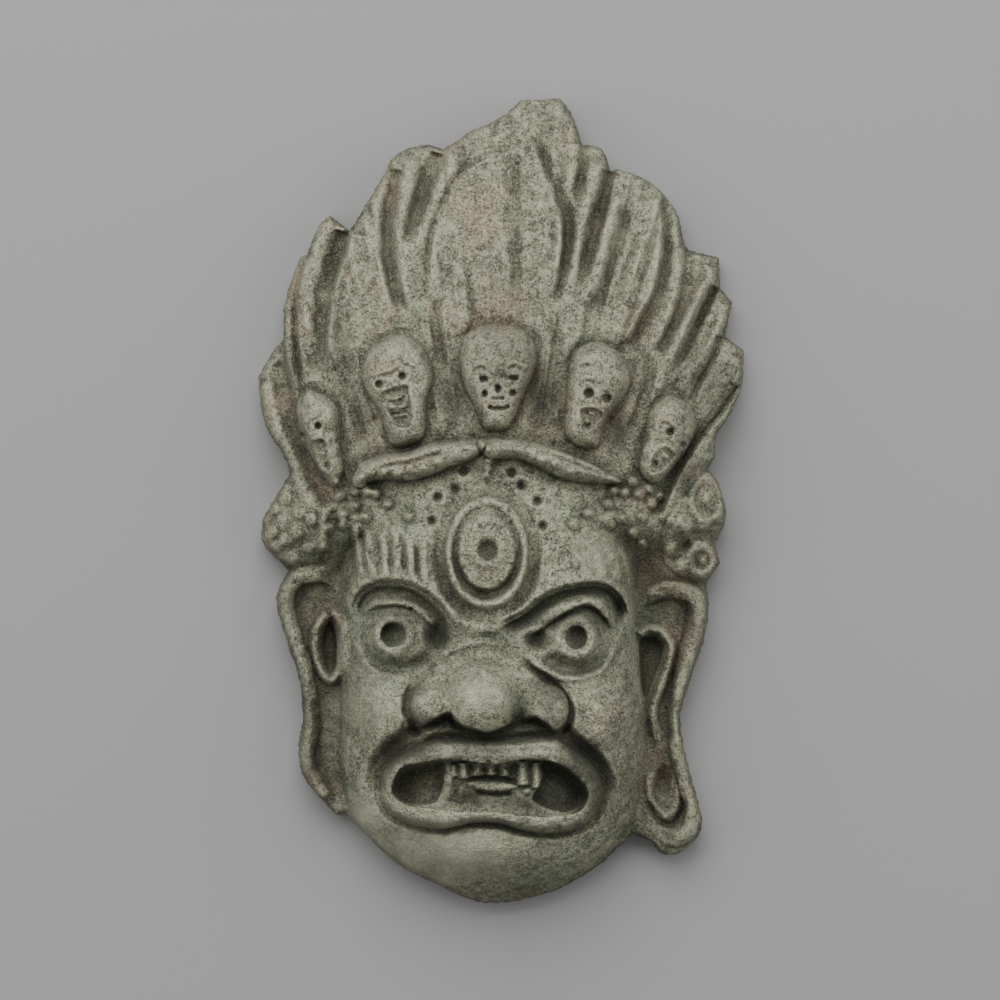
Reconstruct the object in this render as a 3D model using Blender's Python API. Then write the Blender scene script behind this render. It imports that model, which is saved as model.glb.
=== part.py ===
# Stone mask of a wrathful guardian: three glaring eyes, a crown of five skulls under flame-like hair,
# long ears with looped slits and a hollow back. It lies on its flat back rim and faces up.
# The carving is drawn in millimetres on a mask 402 mm tall: x to the right, y to the flames, z up from
# the rim. One factor takes it to the real height; wall, rim and edges keep sizes of their own.
import math

import bpy
import numpy as np

MASK_HEIGHT = 0.402
WALL_THICKNESS = 0.015
RIM_WIDTH = 0.014
RIM_TO_HOLLOW_SLOPE = 0.016
EDGE_ROUNDING = 0.005
HOLLOW_SMOOTHING = 0.007
RIM_TRIM = 0.0015

GRID_PITCH = 0.0012
TRIANGLE_BUDGET = 8300
WALL_ROWS = 3
EDGE_TOLERANCE = 0.5
THINNEST_HOLLOW = 0.3
WALL_REACH = 5.0

DRAWN_HEIGHT = 402.0
DRAWN_CENTRE = (0.5, -0.2)
DRAWN_HALF_SIZE = (126.0, 206.0)
SCALE = MASK_HEIGHT / DRAWN_HEIGHT

STONE_COLOUR = (0.20, 0.20, 0.15, 1.0)
STONE_ROUGHNESS = 0.9

# The silhouette, clockwise from the top: each run is one lock of hair, ear, ornament or the jaw,
# and a corner stands wherever one run meets the next.
SILHOUETTE = [
    [(10.5, 200), (20, 200.3), (30, 201)],
    [(30, 201), (36.5, 191), (40.5, 177.5)],
    [(40.5, 177.5), (50.5, 175.5), (55, 164.5)],
    [(55, 164.5), (63, 164), (76.5, 158), (87.5, 145), (91.5, 127.5)],
    [(91.5, 127.5), (95.5, 124), (109, 121)],
    [(109, 121), (109.5, 105.5)],
    [(109.5, 105.5), (115.5, 99)],
    [(115.5, 99), (112, 81.5)],
    [(112, 81.5), (121.5, 75)],
    [(121.5, 75), (121, 58), (114.5, 43), (108, 33.5)],
    [(108, 33.5), (107, 28), (107, 21.5)],
    [(107, 21.5), (103, 15.5)],
    [(103, 15.5), (108, 10), (112.5, -3), (112.5, -11.5)],
    [(112.5, -11.5), (107.5, -21)],
    [(107.5, -21), (109.5, -31.5)],
    [(109.5, -31.5), (103, -41.5)],
    [(103, -41.5), (104, -54), (102, -69), (91, -101), (90.3, -117), (98.5, -151), (100.5, -162),
     (97.5, -170), (90, -176.5), (81.5, -176.5), (75.5, -170.5), (66.5, -166.5)],
    [(66.5, -166.5), (49, -182.5), (28, -195), (4.5, -201), (-14.5, -200), (-35, -190.5),
     (-53, -180.5), (-77, -157)],
    [(-77, -157), (-82, -157.5)],
    [(-82, -157.5), (-97.5, -139.5), (-100.5, -127), (-98.5, -111), (-100, -91), (-110.5, -57.5),
     (-110.7, -46), (-105.5, -35)],
    [(-105.5, -35), (-116, -24.5), (-119.5, -19.5)],
    [(-119.5, -19.5), (-118.3, -15), (-119, -10.5)],
    [(-119, -10.5), (-113.5, -1)],
    [(-113.5, -1), (-104.5, 13.5)],
    [(-104.5, 13.5), (-108, 23), (-116, 35), (-119.5, 48), (-120.5, 61.5)],
    [(-120.5, 61.5), (-113.5, 74), (-108, 80)],
    [(-108, 80), (-107.3, 98), (-100, 121.5)],
    [(-100, 121.5), (-96.5, 122.5)],
    [(-96.5, 122.5), (-92, 134), (-85.5, 142.5)],
    [(-85.5, 142.5), (-75, 134)],
    [(-75, 134), (-57, 164), (-56, 168)],
    [(-56, 168), (-49, 174.5), (-37, 177.3), (-28, 175)],
    [(-28, 175), (-14.5, 184), (0.5, 191), (10.5, 200)],
]

# The face's edge where it stands over the ears and the hair, and the heights down its middle.
FACE_EDGE = [
    (8, -201), (30, -195), (51, -182), (67, -162), (73, -135), (74, -100), (71, -75), (69.5, -50),
    (70, -30), (69, -5), (63, 25), (45, 55), (0, 75), (-45, 60), (-68, 30), (-77, 0), (-80, -35),
    (-80.5, -70), (-80.5, -105), (-81, -135), (-74, -162), (-55, -182), (-33, -195), (-14.5, -201),
]
FACE_MIDDLE_Y = [-202, -190, -178, -160, -140, -110, -20, 10, 40, 80]
FACE_MIDDLE_Z = [38, 47, 54, 60, 64, 66, 65, 62, 58, 50]
FACE_EDGE_HEIGHT = 12.0
FACE_SHOULDER = 60.0
HAIR_EDGE_HEIGHT = 18.0
HAIR_RISE = 44.0
HAIR_CENTRE = (1.0, 28.0)
HAIR_REACH = (122.0, 176.0)
EAR_HEIGHT = 17.0
EARS_FROM = -8.0
EARS_FULL = -38.0
SWELL_POWERS = (2.3, 0.66)
FACE_SOFTNESS = 3.0


def smooth(points, spans=6):
    """A Catmull-Rom curve through the points."""
    p = np.array(points, float)
    if len(p) < 3:
        return p
    ends = np.vstack([2 * p[0] - p[1], p, 2 * p[-1] - p[-2]])
    t = np.linspace(0, 1, spans, endpoint=False)[:, None]
    rows = []
    for a, b, c, d in zip(ends, ends[1:], ends[2:], ends[3:]):
        bend = (2 * a - 5 * b + 4 * c - d) * t**2 + (3 * b - a - 3 * c + d) * t**3
        rows.append(0.5 * (2 * b + (c - a) * t + bend))
    return np.vstack([*rows, p[-1:]])


def ring_through(points, spans=6):
    """A closed smooth curve, its last point on its first."""
    line = smooth([*points[-2:], *points, *points[:2]], spans)
    return line[2 * spans : (2 + len(points)) * spans + 1]


def silhouette():
    """The whole outline as one closed line."""
    line = np.vstack([smooth(run, 4)[:-1] for run in SILHOUETTE])
    return np.vstack([line, line[:1]])


def step(low, high, value):
    """Goes softly from 0 at low to 1 at high."""
    t = np.clip((value - low) / (high - low), 0, 1)
    return t * t * (3 - 2 * t)


def soft_bump(u):
    return np.clip(1 - u * u, 0, None) ** 2


def half_round(u):
    return np.sqrt(np.clip(1 - u * u, 0, None))


def flat_pit(u):
    return np.clip(1 - u**3, 0, 1)


def quarter_round(t):
    return np.sqrt(1 - (1 - np.clip(t, 0, 1)) ** 2)


def blend_up(a, b, width):
    """The higher of two surfaces, with a fillet between them."""
    d = np.clip(0.5 + 0.5 * (a - b) / width, 0, 1)
    return b + (a - b) * d + width * d * (1 - d)


def blur(z, sigma):
    """A soft copy of the heights; sigma counts grid steps."""
    pad = int(3 * sigma) + 1
    wide = np.pad(z, pad, mode="edge")
    fy = np.fft.fftfreq(wide.shape[0])[:, None]
    fx = np.fft.rfftfreq(wide.shape[1])[None, :]
    gain = np.exp(-2 * (math.pi * sigma) ** 2 * (fx**2 + fy**2))
    soft = np.fft.irfft2(np.fft.rfft2(wide) * gain, s=wide.shape)
    return soft[pad:-pad, pad:-pad]


def lowest_near(z, steps):
    """The lowest height within a square of the given half-width."""
    low = z.copy()
    for axis in (0, 1):
        source = low.copy()
        for shift in range(1, steps + 1):
            low = np.minimum(low, np.roll(source, shift, axis))
            low = np.minimum(low, np.roll(source, -shift, axis))
    return low


class Carving:
    """Heights over a grid of points, shaped by strokes like a carver's, in drawn millimetres."""

    def __init__(self, pitch):
        self.pitch = pitch
        half_x, half_y = DRAWN_HALF_SIZE
        self.xs = np.arange(DRAWN_CENTRE[0] - half_x, DRAWN_CENTRE[0] + half_x, pitch)
        self.ys = np.arange(DRAWN_CENTRE[1] - half_y, DRAWN_CENTRE[1] + half_y, pitch)
        self.x, self.y = np.meshgrid(self.xs, self.ys)
        self.z = np.zeros_like(self.x)

    def window(self, line, reach):
        """The rows and columns of the grid within reach of a line's box."""
        line = np.asarray(line, float)
        x0, y0 = line.min(axis=0) - reach
        x1, y1 = line.max(axis=0) + reach
        rows = slice(*np.searchsorted(self.ys, (y0, y1)))
        columns = slice(*np.searchsorted(self.xs, (x0, x1)))
        return rows, columns

    def along(self, line, reach):
        """Distance from a line, share of the way along it and side (1 is its left) of near points."""
        area = self.window(line, reach)
        x = self.x[area]
        y = self.y[area]
        distance = np.full(x.shape, reach * 1.001)
        share = np.zeros(x.shape)
        side = np.ones(x.shape)
        lengths = np.hypot(*np.diff(line, axis=0).T)
        done = 0.0
        for start, end, length in zip(line, line[1:], lengths):
            rows, columns = self.window([start, end], reach)
            part = (
                slice(rows.start - area[0].start, rows.stop - area[0].start),
                slice(columns.start - area[1].start, columns.stop - area[1].start),
            )
            ex, ey = (end - start) / max(length, 1e-9)
            px = x[part] - start[0]
            py = y[part] - start[1]
            t = np.clip(px * ex + py * ey, 0, length)
            dx = px - t * ex
            dy = py - t * ey
            found = np.hypot(dx, dy)
            near = found < distance[part]
            distance[part] = np.where(near, found, distance[part])
            share[part] = np.where(near, (done + t) / lengths.sum(), share[part])
            side[part] = np.where(near, np.where(ex * dy >= ey * dx, 1.0, -1.0), side[part])
            done += length
        return area, distance, share, side

    def inside(self, ring, reach):
        """Signed distance from a closed line, positive inside, for the points around it."""
        area, distance, _, _ = self.along(ring, reach)
        x = self.x[area]
        y = self.y[area][:, 0]
        odd = np.zeros(x.shape, bool)
        for (ax, ay), (bx, by) in zip(ring, ring[1:]):
            if ay == by:
                continue
            rows = slice(*np.searchsorted(y, (min(ay, by), max(ay, by)), side="right"))
            crossing = ax + (y[rows] - ay) * (bx - ax) / (by - ay)
            odd[rows] ^= x[rows] < crossing[:, None]
        return area, np.where(odd, distance, -distance)

    def ridge(self, points, width, height, fade=0.2, profile=soft_bump):
        """A ridge along a curve, fading out at its ends; the fade is a share of its length."""
        area, distance, share, _ = self.along(smooth(points), width)
        self.z[area] += height * profile(distance / width) * fading(share, fade)

    def groove(self, points, width, depth, fade=0.2):
        self.ridge(points, width, -depth, fade)

    def lap(self, points, rise, spread, cut, cut_width, high, fade=0.15, soft=1.6):
        """One fold over the next: the high side (1 is the left) stands up, the other is cut in."""
        area, distance, share, side = self.along(smooth(points), max(spread, cut_width))
        near = step(0, soft, distance)
        up = rise * np.clip(1 - distance / spread, 0, 1) ** 1.5
        down = -cut * soft_bump(distance / cut_width)
        middle = 0.5 * (rise - cut)
        value = middle + (np.where(side == high, up, down) - middle) * near
        self.z[area] += value * fading(share, fade)

    def knob(self, x, y, radius, height, radius_y=None, profile=soft_bump):
        """A round or oval boss."""
        radius_y = radius_y or radius
        area = self.window([(x, y)], max(radius, radius_y))
        u = np.hypot((self.x[area] - x) / radius, (self.y[area] - y) / radius_y)
        self.z[area] += height * profile(u)

    def pit(self, x, y, radius, depth, radius_y=None, profile=soft_bump):
        self.knob(x, y, radius, -depth, radius_y, profile)

    def pad(self, points, height, rounding):
        """A raised field inside a closed curve, with a rounded edge."""
        area, depth = self.inside(ring_through(points), rounding + 1)
        self.z[area] += height * quarter_round(depth / rounding)

    def moat(self, points, width, depth):
        """A soft groove around a closed curve."""
        area, distance, _, _ = self.along(ring_through(points), width)
        self.z[area] -= depth * soft_bump(distance / width)

    def hoop(self, x, y, radius, width, height, squash=1.0):
        """A ring-shaped ridge."""
        area = self.window([(x, y)], radius * max(1.0, squash) + width)
        r = np.hypot(self.x[area] - x, (self.y[area] - y) / squash)
        self.z[area] += height * soft_bump((r - radius) / width)

    def mound(self, x, y, radius_x, radius_y, base, top):
        """The upper half of an ellipsoid as heights of its own, zero outside."""
        u = ((self.x - x) / radius_x) ** 2 + ((self.y - y) / radius_y) ** 2
        return np.where(u < 1, base + (top - base) * np.sqrt(np.clip(1 - u, 0, 1)), 0)


def fading(share, fade):
    """Fades both ends of a stroke; a pair gives the first and the last end."""
    first, last = fade if isinstance(fade, tuple) else (fade, fade)
    return step(0, first, share) * step(0, last, 1 - share)


def carve_masses(carving):
    """The fan of hair, the low ears and the swelling face."""
    x, y = carving.x, carving.y
    spread = ((x - HAIR_CENTRE[0]) / HAIR_REACH[0]) ** 2 + ((y - HAIR_CENTRE[1]) / HAIR_REACH[1]) ** 2
    fan = np.maximum(HAIR_EDGE_HEIGHT + HAIR_RISE * (1 - spread), EAR_HEIGHT)
    ears = step(EARS_FROM, EARS_FULL, y)
    around = fan * (1 - ears) + EAR_HEIGHT * ears
    area, depth = carving.inside(ring_through(FACE_EDGE), FACE_SHOULDER + 2)
    steep, full = SWELL_POWERS
    swell = (1 - (1 - np.clip(depth / FACE_SHOULDER, 0, 1)) ** steep) ** full
    middle = np.interp(y[area], FACE_MIDDLE_Y, FACE_MIDDLE_Z)
    face = np.zeros_like(x)
    face[area] = FACE_EDGE_HEIGHT + (middle - FACE_EDGE_HEIGHT) * swell
    face[area] -= 6 * step(0, -3, depth) + 40 * step(-2, -8, depth)
    face = blur(np.maximum(face, 0), FACE_SOFTNESS / carving.pitch)
    carving.z = blend_up(around, face, FACE_SOFTNESS)


# Locks of hair that stand up like flames. A fold is a line where one lock's crisp edge stands over the
# next: its rise, the rise's spread, its cut, the cut's width, the high side (1 is the left) and fades.
HAIR_FOLDS = (
    (2.2, 12, 2.0, 4.5, -1, (0.25, 0.05),
     [(-36, 88), (-36, 105), (-35, 122), (-33.5, 132), (-30, 142), (-26, 151), (-20, 161), (-9, 170),
      (14, 178)]),
    (4.5, 16, 4.0, 7, -1, (0.05, 0.15),
     [(14, 178), (18, 176), (22.5, 164), (27.5, 151), (31, 140), (31.5, 127), (30, 116), (28, 107),
      (24, 97)]),
    (3.0, 12, 3.0, 6, -1, (0.02, 0.4), [(40, 178), (40, 170), (38, 160), (36, 150)]),
    (6.5, 18, 5.0, 9, 1, (0.02, 0.2),
     [(-74.5, 134), (-77.5, 122), (-81.5, 112), (-83.5, 102), (-85.5, 90), (-86.5, 75), (-86, 60)]),
    (3.0, 10, 4.0, 6, 1, (0.02, 0.2),
     [(-97, 122), (-100.5, 108), (-101.5, 90), (-100.5, 75), (-96, 45)]),
    (3.5, 12, 3.5, 7, 1, (0.02, 0.2), [(-108, 80), (-106, 66), (-101, 45), (-94, 25), (-88, 8)]),
    (6.0, 20, 5.5, 8, -1, (0.03, 0.12),
     [(80, 152), (81.5, 140), (81, 125), (79, 112), (76, 102), (71.5, 94), (65, 82), (59, 74)]),
    (2.5, 12, 4.0, 7, -1, (0.03, 0.3), [(92, 126), (91, 112), (88, 98), (82, 84), (74, 70)]),
    (3.0, 10, 4.0, 6.5, 1, (0.02, 0.3), [(109, 106), (98.5, 86), (91, 70), (84, 58)]),
    (3.0, 10, 4.0, 6.5, 1, (0.02, 0.3), [(112, 81), (107, 70), (101, 60), (95, 48)]),
    (5.0, 14, 5.0, 8, 1, (0.02, 0.05), [(120, 57), (110, 42), (99, 29), (90, 15), (83, 0), (79, -12)]),
)

# Rounded strands and, with a negative height, the furrows between them: height, width, fades and line.
HAIR_STRANDS = (
    (1.5, 5, 0.25, [(3, 173), (1.5, 160), (0.5, 145), (0, 120), (2, 92)]),
    (-2.0, 4, 0.15, [(8.5, 176), (8, 150), (8, 125), (8, 95)]),
    (1.2, 6, 0.3, [(13, 168), (13, 145), (14, 120), (14, 100)]),
    (-1.1, 4, 0.3, [(-7, 165), (-9, 150), (-12, 132), (-9, 120)]),
    (-1.5, 3.5, 0.25, [(22.5, 153), (26, 138), (26, 125), (23, 112)]),
    (1.4, 4, 0.3, [(-13, 115), (-11, 105), (-10, 90)]),
    (1.2, 4, 0.3, [(1, 135), (3, 118), (2, 102)]),
    (-3.2, 4.5, 0.2, [(-31, 104), (-32, 92), (-31, 80), (-29, 66)]),
    (4.0, 7, (0.05, 0.3),
     [(-22, 174), (-25, 165), (-30, 155), (-36, 142), (-40, 132), (-43, 121), (-44, 106)]),
    (-5.0, 6.5, (0.03, 0.3),
     [(-31, 174), (-35, 162), (-38.5, 152), (-42, 142), (-45.5, 132), (-47, 123)]),
    (5.0, 7.5, (0.05, 0.25),
     [(-43, 172), (-47, 157), (-49, 145), (-50.5, 132), (-50, 120), (-48, 108), (-45, 95), (-43, 84)]),
    (-5.2, 6, (0.03, 0.2),
     [(-52, 166), (-54.5, 150), (-56, 135), (-55, 120), (-53, 108), (-50, 97), (-45, 87)]),
    (2.6, 5, (0.05, 0.2),
     [(-57, 162), (-59.5, 145), (-60.5, 130), (-59, 117), (-56, 105), (-52, 94), (-47, 85)]),
    (-1.4, 5, 0.3, [(-69, 138), (-70, 124), (-68, 108)]),
    (1.2, 4, 0.3, [(-64, 144), (-65.5, 125), (-64, 106)]),
    (-2.2, 4, (0.1, 0.3), [(-76, 120), (-79, 106), (-81, 90), (-81, 70)]),
    (-4.0, 6, (0.03, 0.35), [(-79, 135), (-82.5, 122), (-86, 110), (-88, 98)]),
    (4.0, 6, (0.05, 0.3), [(-88, 141), (-92, 122), (-95.5, 108), (-96.5, 92), (-95, 72)]),
    (2.6, 4, (0.05, 0.3), [(-103.5, 118), (-105.5, 100), (-105.5, 82), (-101, 56)]),
    (3.2, 7, (0.05, 0.1), [(-119, 60), (-114, 42), (-107, 24), (-98, 6), (-90, -10)]),
    (-3.2, 6, (0.05, 0.1), [(-112, 70), (-108, 50), (-101, 30), (-92, 10), (-86, -6)]),
    (1.6, 3, (0.1, 0.1), [(-4, 179), (6, 184)]),
    (2.6, 9, (0.1, 0.4), [(22, 199), (32, 186), (38, 172), (40, 158)]),
    (2.2, 5, (0.1, 0.4), [(37, 169), (35, 158), (33, 150)]),
    (-4.0, 5, (0.2, 0.25), [(32.5, 150), (34.5, 138), (34.5, 128), (33.5, 118), (36, 108)]),
    (5.0, 6.5, (0.05, 0.3),
     [(49, 170), (46, 156), (42, 142), (40, 130), (37, 120), (34, 108), (31, 98)]),
    (-5.2, 6.5, (0.03, 0.3), [(56, 165), (52.5, 152), (48.5, 142), (45, 130), (42, 118), (40, 105)]),
    (5.0, 5.5, (0.08, 0.2), [(60, 154), (56, 140), (53, 131), (50, 119), (46, 106), (42, 96)]),
    (-2.8, 4.5, (0.1, 0.15), [(62, 148), (62, 132), (57, 118), (52, 106), (47, 96), (43, 88)]),
    (2.2, 4.5, 0.3, [(67, 140), (63, 127), (59, 117), (54, 104)]),
    (-2.2, 4.5, 0.3, [(70, 140), (66.5, 125), (61, 110), (55, 97)]),
    (2.5, 7, 0.25, [(86, 140), (89, 128), (88, 114), (84, 100)]),
    (4.6, 6, (0.03, 0.3), [(107, 117), (104, 108), (99, 98), (94, 88), (89, 76), (83, 62)]),
    (-4.5, 5, (0.03, 0.3), [(109, 107), (103, 97), (98, 85), (94, 76), (89, 64)]),
    (-2.4, 5, (0.05, 0.3), [(98, 121), (95, 106), (89, 90), (82, 76)]),
    (3.8, 6, (0.03, 0.3), [(114, 98), (110, 86), (104, 73), (97, 60)]),
    (3.0, 8, (0.05, 0.3), [(119, 72), (113, 60), (105, 46), (98, 32)]),
    (-3.0, 5, 0.25, [(-29, 88), (-27, 72), (-22, 54)]),
    (-2.2, 5, 0.25, [(-35, 96), (-31, 80), (-28, 60), (-27, 40)]),
    (-3.0, 5, 0.25, [(26, 90), (29, 74), (28, 56), (30, 40)]),
    (-3.2, 5, 0.25, [(-74, 78), (-76, 62), (-72, 44), (-68, 26)]),
    (-3.2, 5, 0.25, [(72, 78), (74, 62), (70, 44), (62, 30)]),
)


def carve_hair(carving):
    """Overlapping locks that stand up like flames, each with a crisp edge over the next."""
    for rise, spread, cut, cut_width, high, fade, line in HAIR_FOLDS:
        carving.lap(line, rise, spread, cut, cut_width, high, fade)
    for height, width, fade, line in HAIR_STRANDS:
        carving.ridge(line, width, height, fade)
    small_leaf = [(-22, 120), (-16, 108), (-14, 95), (-16, 84), (-26, 82), (-29, 94), (-28, 107)]
    carving.pad(small_leaf, 1.9, 6)
    carving.pit(15, 196.5, 6, 2.2, radius_y=4)


def carve_ornaments(carving):
    """The knotted rosettes over the ears."""
    carving.pad([(-104, 14), (-113, 0), (-118, -12), (-118, -20), (-106, -33), (-95, -34), (-88, -26),
                 (-86, -10), (-92, 6)], 4, 12)
    for x, y, radius in LEFT_KNOTS:
        carving.knob(x, y, radius, 4.0)
        carving.pit(x, y, 0.45 * radius, 1.6)
    carving.pad([(104, 15), (111, 2), (112, -12), (107, -21), (109, -31), (103, -41), (94, -40),
                 (84, -34), (80, -22), (84, -8), (92, 2)], 4.5, 12)
    for x, y, radius, squash in RIGHT_LOBES:
        carving.hoop(x, y, radius, 3.4, 3.0, squash)
        carving.knob(x, y, 0.5 * radius, 2.6, radius_y=0.5 * radius * squash)
    for x, y, radius in RIGHT_KNOTS:
        carving.knob(x, y, radius, 3.4)
    carving.groove([(113, -19), (99, -17), (88, -23)], 4, 3.4)
    carving.groove([(96, -20), (90, -25), (84, -32)], 3.5, 2.6)


# Knots as x, y and radius; lobes as x, y, radius and how much taller than wide.
LEFT_KNOTS = ((-113, -4.5, 4.2), (-109, -11.5, 5.2), (-114, -16, 4.6), (-107, -20, 5), (-112, -23, 4.2),
              (-101.5, -16, 5), (-103.5, -28.5, 4.8), (-106.8, 1, 4.6), (-108, 6, 3.8), (-100, -6.5, 5),
              (-96, -24, 4.6), (-94, -10, 4.4))
RIGHT_LOBES = ((103.5, 0.5, 8.0, 1.3), (101, -30, 6.2, 1.1))
RIGHT_KNOTS = ((91, -13, 6.5), (90.5, -33, 5.5), (101, -13, 5.0), (109, -8, 4.0), (85, -24, 5.0))


def carve_ears(carving):
    """Long ears: a rolled rim round a sunk bowl, and a looped slit beside the cheek."""
    rim_height = 8.5
    bowl_depth = 3.0
    carving.ridge([(-82, -38.5), (-92, -37), (-101, -39), (-106.3, -46), (-106.8, -55), (-103, -69),
                   (-98.5, -83), (-96, -96), (-94.6, -107), (-95, -118), (-97, -129), (-92.5, -141),
                   (-86, -152)], 4.6, rim_height, fade=(0.08, 0.04), profile=half_round)
    carving.ridge([(68, -50), (73, -48), (80, -45.2), (88, -45), (95, -46.6), (98.6, -51), (98.6, -61),
                   (94, -78), (90, -96), (88.2, -110), (90, -128), (94.5, -144), (97, -155),
                   (95.5, -164), (88, -169), (81, -166)], 4.8, rim_height, fade=(0.06, 0.06),
                   profile=half_round)
    carving.pad([(-84, -43), (-96, -42), (-101.5, -50), (-99, -66), (-94, -84), (-91.5, -105),
                 (-91.5, -125), (-84, -146), (-79, -130), (-80, -60)], -bowl_depth, 4)
    carving.pad([(73, -50), (86, -49), (94, -52), (93.5, -64), (88, -80), (83, -98), (83, -115),
                 (86, -136), (84, -150), (77, -158), (74, -140), (72, -80)], -bowl_depth, 4)
    carving.groove([(90, -50.5), (94.5, -56), (92, -72), (86, -90), (84, -108), (86.5, -124)], 3.2, 2.6,
                   fade=0.1)
    carving.groove([(-93, -98), (-91.5, -112), (-92, -124), (-90.5, -138)], 3.4, 3.0, fade=0.1)
    loop_height = 6.5
    carving.ridge([(-85.8, -55.9), (-92, -65.3), (-92.6, -74), (-90, -84.2), (-84.7, -90),
                   (-79.8, -84.2), (-78.8, -73.7), (-79.2, -63.2), (-81.5, -58), (-85, -56)], 4.2,
                   loop_height, fade=0.02)
    carving.ridge([(68, -67.5), (75, -64.3), (82.5, -67.5), (85.6, -74), (83.5, -84.7), (79.4, -95.4),
                   (76.5, -106), (79, -118.5), (84, -132)], 4.2, loop_height, fade=(0.03, 0.35))
    carving.pad([(-84.8, -60.5), (-88.6, -67), (-89, -76), (-86.5, -85), (-82.4, -84), (-81.6, -70)],
                -8, 2.6)
    carving.pad([(70, -69.5), (76, -68.5), (81, -72), (80.5, -80), (77, -89), (72.8, -99), (70, -92),
                 (69.5, -80)], -8, 2.8)
    carving.pit(81.5, -140.5, 4.8, 5.5, radius_y=10)
    carving.ridge([(77, -134), (74.6, -142.5), (77, -151.5), (83, -158), (88.6, -151), (88, -139)], 3,
                  2.6, fade=0.1)
    carving.groove([(73, -149), (77.5, -158), (85, -162.6), (91.5, -156), (92, -147)], 2.6, 3.0,
                   fade=0.15)


# Places of the beads and drilled pits, and the lines of the frown.
LEFT_BEADS = ((-56, -2), (-45.5, -8), (-72.5, -3), (-78.5, -7.5), (-67, -8.5), (-80, 2), (-80.5, 8),
              (-78, -12), (-85, -14), (-62, 3.5), (-72, 5))
RIGHT_BEADS = ((44, -6.5), (53.5, -2), (37, -12), (62, 4), (66, 9), (69.5, 3), (76, -1.5), (61, -9.5),
               (66, -16.5), (70.5, -8.5), (74, 6), (79, -8), (71, -22), (57, 5), (80, 2))
FOREHEAD_PITS = ((-18, 14.5), (-22.5, 5.5), (-31, 1.5), (-33.5, -10.5), (6, 14), (10.5, 7),
                 (18.5, -0.5), (21, -13))
LEFT_FROWNS = (
    [(-72, -10), (-71, -24), (-69, -40)], [(-66, -12), (-65.5, -26), (-62, -41)],
    [(-60, -15), (-57.5, -26), (-57, -40)], [(-53.5, -13), (-51, -24), (-51.5, -38)],
    [(-46, -16), (-44.5, -28), (-44, -40)], [(-38.5, -18), (-38, -30), (-37, -42)],
)
RIGHT_FROWNS = (
    [(45, -22), (50, -31), (52, -41)], [(52, -20), (57, -30), (60, -42)],
    [(60, -22), (64, -33), (66, -45)],
    [(38, -26), (42, -33), (44, -40)],
)


def carve_forehead(carving):
    """Strings of beads, drilled pits and frown lines."""
    for x, y in LEFT_BEADS + RIGHT_BEADS:
        carving.pit(x, y, 6.0, 1.0)
        carving.knob(x, y, 3.9, 4.6)
    for x, y in FOREHEAD_PITS:
        carving.pit(x, y, 3.6, 3.8)
    carving.ridge([(-84, -1), (-87.5, -8), (-88, -18), (-87, -27)], 3.6, 4.5, fade=0.15)
    for frowns, height in ((LEFT_FROWNS, 2.2), (RIGHT_FROWNS, 1.2)):
        for line in frowns:
            carving.ridge(line, 3.0, height, fade=0.25)
            carving.groove([(x - 3.2, y) for x, y in line], 2.2, 0.5 * height, fade=0.25)


def carve_third_eye(carving):
    """The upright eye of the forehead, a dome with a drilled pupil in a raised frame."""
    x, y, radius_x, radius_y = -6.5, -26.0, 18.5, 25.0
    area = carving.window([(x, y)], 40)
    up = (carving.y[area] - y) / radius_y
    r = np.hypot((carving.x[area] - x) / radius_x, up)
    outwards = (r - 1) * (radius_x + radius_y) / 2
    lower = step(0.6, -0.8, up)
    carving.z[area] += 6.4 * half_round(np.minimum(r / 1.12, 1))
    carving.z[area] += (1.6 + 2.6 * lower) * soft_bump((outwards - 1.0) / 3.2)
    carving.z[area] -= (2.2 + 1.6 * lower) * soft_bump((outwards + 3.6) / 3.4)
    carving.z[area] -= (3.0 + 2.4 * lower) * soft_bump((outwards - 7.0) / 5)
    carving.pit(-6, -25, 5.6, 5.0, profile=flat_pit)
    carving.hoop(-6, -25, 7.4, 1.8, 0.8)


# Lines of the brows, the upper lids and the folds round the eyes.
LEFT_BROW = [(-74, -60), (-72, -52), (-69, -46.5), (-62.5, -42.5), (-55, -41.5), (-45, -43),
             (-35, -48.5), (-27.5, -56), (-23, -66)]
RIGHT_BROW = [(-3, -64), (3, -60.5), (11, -56.5), (20, -49.5), (28.5, -45), (38.5, -42.8),
              (48.5, -42.2), (56, -45.5), (61, -52.5), (64, -63)]
LEFT_LID = [(-69, -59), (-66, -55.5), (-62, -53.2), (-57, -52.4), (-50, -52.2), (-45, -53.5),
            (-41, -55.5), (-36, -60), (-32, -64.5)]
RIGHT_LID = [(15, -68), (20, -64.5), (26, -60), (35, -54.8), (42, -52.5), (48, -54.5), (53.5, -60.5),
             (57, -66.5)]
LEFT_FOLD = [(-75, -64), (-72.5, -70), (-69.5, -77), (-65, -83), (-58, -87)]
RIGHT_FOLD = [(61.5, -62), (59.5, -69), (56, -76), (51, -83.5), (43, -87.5), (32, -88.5), (21, -84),
              (11, -79)]


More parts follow.
